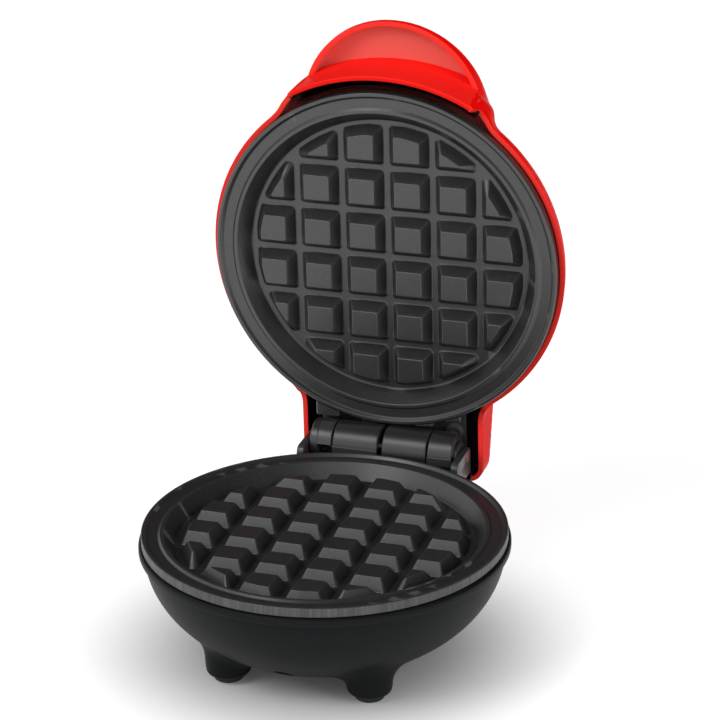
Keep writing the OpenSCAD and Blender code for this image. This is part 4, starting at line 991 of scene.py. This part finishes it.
def baseHinge():
    root, front = -hingeY + lipR + 0.3, -hinge["knuckleR"] - 0.1
    back, top, low = hinge["armBack"], hinge["armTop"], hinge["towerTop"]
    ledgeTop, ledgeLow, ledgeRoot = hinge["armLedge"]
    (startB, endB), (startD, endD), sleeveR = hinge["spanB"], hinge["spanD"], hinge["sleeveR"]
    parts = []
    for x1, x2 in ((startB, endB), (startD, endD)):
        parts.append(knuckle(x1, x2))
        arm = [(root, low, 0.2), (back, low, 0.4), (back, top, 0.4), (-3, 1.0, 0.2),
               (front, ledgeTop, 0.25), (front, ledgeLow, 0.4), (root, ledgeRoot, 0.4)]
        parts.append(bar(x1, x2, arm, edge=0.25))
    parts.append(knuckle(startB - hinge["sleeveL"], startB + 1, sleeveR))
    parts.append(knuckle(endD - 1, cheekIn - 0.1, sleeveR))
    tooth = hinge["notchTo"] - hinge["stopGap"] - hinge["toothW"]
    parts.append(knucklePart(startB - hinge["sleeveL"], startB + 1, tooth, tooth + hinge["toothW"],
                             hinge["knuckleR"] - 0.2, sleeveR))
    return together(*parts)


# The bracket's face beside the plate: its front follows the plate's rim, its back edge is straight
def bracketFace(x1, x2, back):
    lowZ = lidZ - lid["reveal"] + hinge["faceRise"]
    highZ, loops = lowZ + hinge["faceT"], []
    for i, x in enumerate(np.linspace(x1, x2, 24)):
        inset = 0.3 if i in (0, 23) else 0
        front = min(math.sqrt((plateR + hinge["faceGap"]) ** 2 - x ** 2), back - 0.3)
        outline = rounded([(front, lowZ + inset, 0.1), (back - inset, lowZ + inset, 0.35),
                           (back - inset, highZ, 0.1), (front, highZ, 0.1)], closed=True, stepCount=3)
        loops.append(atX(x, outline))
    return stacked(loops, capFirst=True, capLast=True)


def lidHinge():
    turn = math.degrees(openAngle)
    (startA, endA), (startC, endC), half = hinge["spanA"], hinge["spanC"], hinge["half"]
    notchX = endA - hinge["notchW"]
    parts = [knuckle(startA, notchX)]
    parts.append(knucklePart(notchX - 0.3, endA, hinge["notchTo"] + turn, hinge["notchFrom"] + turn + 360,
                             hinge["knuckleR"], hinge["sleeveR"] + 0.3))
    parts.append(knuckle(startC, endC))
    barZ = lidZ + hinge["barLift"] - hingeZ
    wide = hinge["bracketHalf"]
    for first, last in ((startA, notchX), (startC, endC)):
        parts.append(bar(first, last, [(-wide, 3, 0.2), (wide, 3, 0.2), (wide, barZ + 1, 0.3),
                                       (-wide, barZ + 1, 0.3)]))
    front, back = hinge["faceEdge"] - hinge["barFront"], hinge["barBack"]
    low, high = (barZ + rise for rise in hinge["barSpan"])
    crossbar = [(front, low, 0.3), (back, low, 0.4), (back, high, 0.4), (front, high, 0.3)]
    parts.append(bar(-half, half, crossbar))
    edgeY = hingeY + hinge["faceEdge"]
    parts.append(bracketFace(-half, endA + 0.5, edgeY))
    parts.append(bracketFace(hinge["faceC"], endC + 0.3, edgeY))
    parts.append(bracketFace(hinge["faceD"], half, edgeY - hinge["faceCut"]))
    return together(*parts)


# Low cheeks beside the knuckles, which hold the pin's ends
def cheek(side):
    back, front, top = hinge["earBack"], hinge["earFront"], hinge["earTop"]
    around = rounded([(back - 1, -10, 0.2), (back, 0, 2), (back - 0.4, top + 0.4, 4.0),
                      (front + 0.2, top, 3.2), (front, -2.6, 0.6), (front - 1.8, -3.2, 0.3),
                      (front - 1.8, -9, 0.2)], closed=True, stepAngle=9)
    pull = around - [(back + front) / 2, hinge["earMiddle"]]
    pull *= smoothStep(-6.0, -1.0, around[:, 1])[:, None] / np.linalg.norm(pull, axis=1)[:, None]
    return stacked([atX(side * x, [hingeY, hingeZ] + around - inset * pull)
                    for x, inset in ((cheekIn, 0.3), (cheekIn + 0.3, 0), (cheekOut - 0.5, 0),
                                     (cheekOut - 0.15, 0.15), (cheekOut, 0.5))], capFirst=True, capLast=True)


# A closed ring with its points spread evenly, where sections differ in count
def resampled(ring, count=60):
    closed = np.vstack([ring, ring[:1]])
    s = np.concatenate([[0], np.cumsum(np.hypot(*np.diff(closed, axis=0).T))])
    want = np.linspace(0, s[-1], count, endpoint=False)
    return np.stack([np.interp(want, s, closed[:, i]) for i in (0, 1)], 1)


# The tower that carries the hinge behind the bowl
def tower():
    endRun = [cheekOut - 0.6, cheekOut - 0.2, cheekOut]
    places = [-x for x in reversed(endRun)] + list(np.linspace(-cheekOut + 2, cheekOut - 2, 33)) + endRun
    loops = []
    for x in places:
        inset = 0.5 * (1 - math.sqrt(max(0, 1 - max(0, (abs(x) - cheekOut + 0.6) / 0.6) ** 2)))
        topY = math.sqrt((lipR - hinge["towerIn"]) ** 2 - x ** 2)
        lowZ = hingeZ + hinge["towerLow"] + inset
        lowY = math.sqrt(max(float(bowlRadius(lowZ)) ** 2 - x ** 2, 0)) - 1.5
        topZ, backY = hingeZ + hinge["towerTop"] - inset, hingeY + hinge["towerBack"] - inset
        outline = rounded([(topY, topZ, 0.2), (backY, topZ, 1.2), (backY, topZ - hinge["towerEnd"], 1.5),
                           (max(hingeY + hinge["towerFoot"], lowY + 1), lowZ, 1.5), (lowY, lowZ, 0.2)],
                          closed=True, stepAngle=30)
        loops.append(atX(x, resampled(outline)))
    return stacked(loops, capFirst=True, capLast=True)


boss = {"boreR": 4.85, "wall": 0.05, "long": 18, "edge": 0.4, "sink": 1.5}


# Boss that holds the cord gland, behind the bowl
def glandBoss():
    low, high = boxOf("cord_gland")
    radius = (high[0] - low[0]) / 2 + boss["wall"]
    section = rounded([(boss["boreR"], 0, 0), (radius, 0, boss["edge"]), (radius, boss["long"], 0),
                       (boss["boreR"], boss["long"], 0)], stepAngle=18)
    points, faces = revolved(section, 72, closed=True)
    z = (low[2] + high[2]) / 2
    return np.column_stack([points[:, 0], high[1] - boss["sink"] - points[:, 2], z + points[:, 1]]), faces


piece("baseHingeBracket", baseHinge(), "base", "hinge_plastic", ["base_hinge_bracket"], sharp=38)
piece("lidHingeBracket", lidHinge(), "lid", "hinge_plastic", ["lid_hinge_bracket"], sharp=38)
piece("hingeTower", tower(), "base", "base_plastic", weighted=False)
piece("hingeCheeks", together(cheek(-1), cheek(1)), "base", "base_plastic", looks=["hinge_plastic"],
      weighted=False)
piece("glandBoss", glandBoss(), "base", "base_plastic")
print("hinge made")

# CAD nodes that are carried over take the finish of their slot

slotOf = {row["node"]: row["material_slot"] for row in frame["record"]["subparts"]}
for node, obj in frame["nodes"].items():
    obj.data.materials.clear()
    obj.data.materials.append(materials[slotOf[node]])
print("nodes finished:", len(slotOf))

# Studio, in metres

studio = {
    "cameraAt": (0.321287, -0.928985, 0.507385), "azimuth": 18.3236, "elevation": 22.1831, "roll": -0.9760,
    "lens": 159.9885, "sensor": 36.0,
    "sky": 0.05, "skyEdge": (-0.15, 0.72), "skySoft": 0.25, "skyLean": (0.8, 1.0, 0.0),
    "skySpan": (0.5, -0.7), "floorColour": (0.42, 0.42, 0.42, 1), "floorSize": 8.0,
    "floorGlow": (0.025, 0.8), "floorFade": (0.03, 0.099), "lampTarget": (0, 0.03, 0.09),
}
# Each lamp's place, size, power and whether glossy surfaces show it
lamps = {
    "keyLight": ((-1.2, -1.5, 1.7), 1.1, 28.0, False),
    "edgeLight": ((-0.9, -1.2, 1.9), 0.8, 7.0, True),
    "sideLight": ((1.4, -0.4, 0.75), 0.9, 16.0, False),
}


def makeCamera():
    az, el, roll = (math.radians(studio[key]) for key in ("azimuth", "elevation", "roll"))
    back = Vector((math.sin(az) * math.cos(el), -math.cos(az) * math.cos(el), math.sin(el)))
    right = Vector((math.cos(az), math.sin(az), 0))
    up = back.cross(right)
    side = right * math.cos(roll) + up * math.sin(roll)
    over = -right * math.sin(roll) + up * math.cos(roll)
    data = bpy.data.cameras.new("studioCamera")
    data.lens, data.sensor_width = studio["lens"], studio["sensor"]
    data.clip_start, data.clip_end = 0.01, 100
    camera = bpy.data.objects.new("studioCamera", data)
    turn = Matrix((side, over, back)).transposed().to_4x4()
    camera.matrix_world = Matrix.Translation(studio["cameraAt"]) @ turn
    bpy.context.scene.collection.objects.link(camera)
    bpy.context.scene.camera = camera


def softbox(name, at, size, power, mirrored):
    data = bpy.data.lights.new(name, "AREA")
    data.shape, data.size, data.energy = "SQUARE", size, power
    lamp = bpy.data.objects.new(name, data)
    lamp.location = at
    lamp.visible_glossy = mirrored
    lamp.rotation_euler = (Vector(studio["lampTarget"]) - Vector(at)).to_track_quat("-Z", "Y").to_euler()
    bpy.context.scene.collection.objects.link(lamp)


# A pale surround up to a height that falls from the front to the back, and a dim ceiling above it
def makeWorld():
    world = bpy.data.worlds.new("studioWorld")
    bpy.context.scene.world = world
    world.use_nodes = True
    tree = world.node_tree
    tree.nodes.clear()
    out = place(tree, "ShaderNodeOutputWorld")
    light = place(tree, "ShaderNodeBackground")
    where = place(tree, "ShaderNodeTexCoord")
    parts = place(tree, "ShaderNodeSeparateXYZ")
    lean = place(tree, "ShaderNodeVectorMath", operation="DOT_PRODUCT")
    lean.inputs[1].default_value = studio["skyLean"]
    edge = spanNode(tree, studio["skySpan"], studio["skyEdge"], "SMOOTHSTEP")
    below = sumNode(tree, "SUBTRACT")
    level = spanNode(tree, (-studio["skySoft"], 0.0), (studio["sky"], 1.0), "SMOOTHSTEP")
    wire(tree, (where, "Generated", parts, "Vector"), (where, "Generated", lean, 0),
         (lean, "Value", edge, "Value"), (edge, "Result", below, 0), (parts, "Z", below, 1),
         (below, 0, level, "Value"), (level, "Result", light, "Strength"),
         (light, "Background", out, "Surface"))


# Paper that keeps its shadow under the object and is plain white further out, also in reflections
def makeFloor():
    size = studio["floorSize"]
    mesh = bpy.data.meshes.new("floor")
    corners = [(-size, -size, 0), (size, -size, 0), (size, size, 0), (-size, size, 0)]
    mesh.from_pydata(corners, [], [(0, 1, 2, 3)])
    floor = bpy.data.objects.new("floor", mesh)
    bpy.context.scene.collection.objects.link(floor)
    material = bpy.data.materials.new("floorPaper")
    material.use_nodes = True
    tree = material.node_tree
    shader = tree.nodes["Principled BSDF"]
    shader.inputs["Base Color"].default_value = studio["floorColour"]
    shader.inputs["Roughness"].default_value = 0.9
    shader.inputs["Specular IOR Level"].default_value = 0.0
    shader.inputs["Emission Color"].default_value = (1, 1, 1, 1)
    where = place(tree, "ShaderNodeTexCoord")
    away = place(tree, "ShaderNodeVectorMath", operation="LENGTH")
    glow = spanNode(tree, studio["floorFade"], studio["floorGlow"], "SMOOTHSTEP")
    path = place(tree, "ShaderNodeLightPath")
    first, second, seen = sumNode(tree, "MAXIMUM"), sumNode(tree, "MAXIMUM"), sumNode(tree, "MULTIPLY")
    wire(tree, (where, "Object", away, 0), (away, "Value", glow, "Value"), (path, "Is Camera Ray", first, 0),
         (path, "Is Glossy Ray", first, 1), (first, 0, second, 0), (path, "Is Transmission Ray", second, 1),
         (second, 0, seen, 0), (glow, "Result", seen, 1), (seen, 0, shader, "Emission Strength"))
    mesh.materials.append(material)


makeCamera()
makeWorld()
makeFloor()
for name, values in lamps.items():
    softbox(name, *values)
bpy.context.scene.view_settings.view_transform = "Standard"
print("studio made")
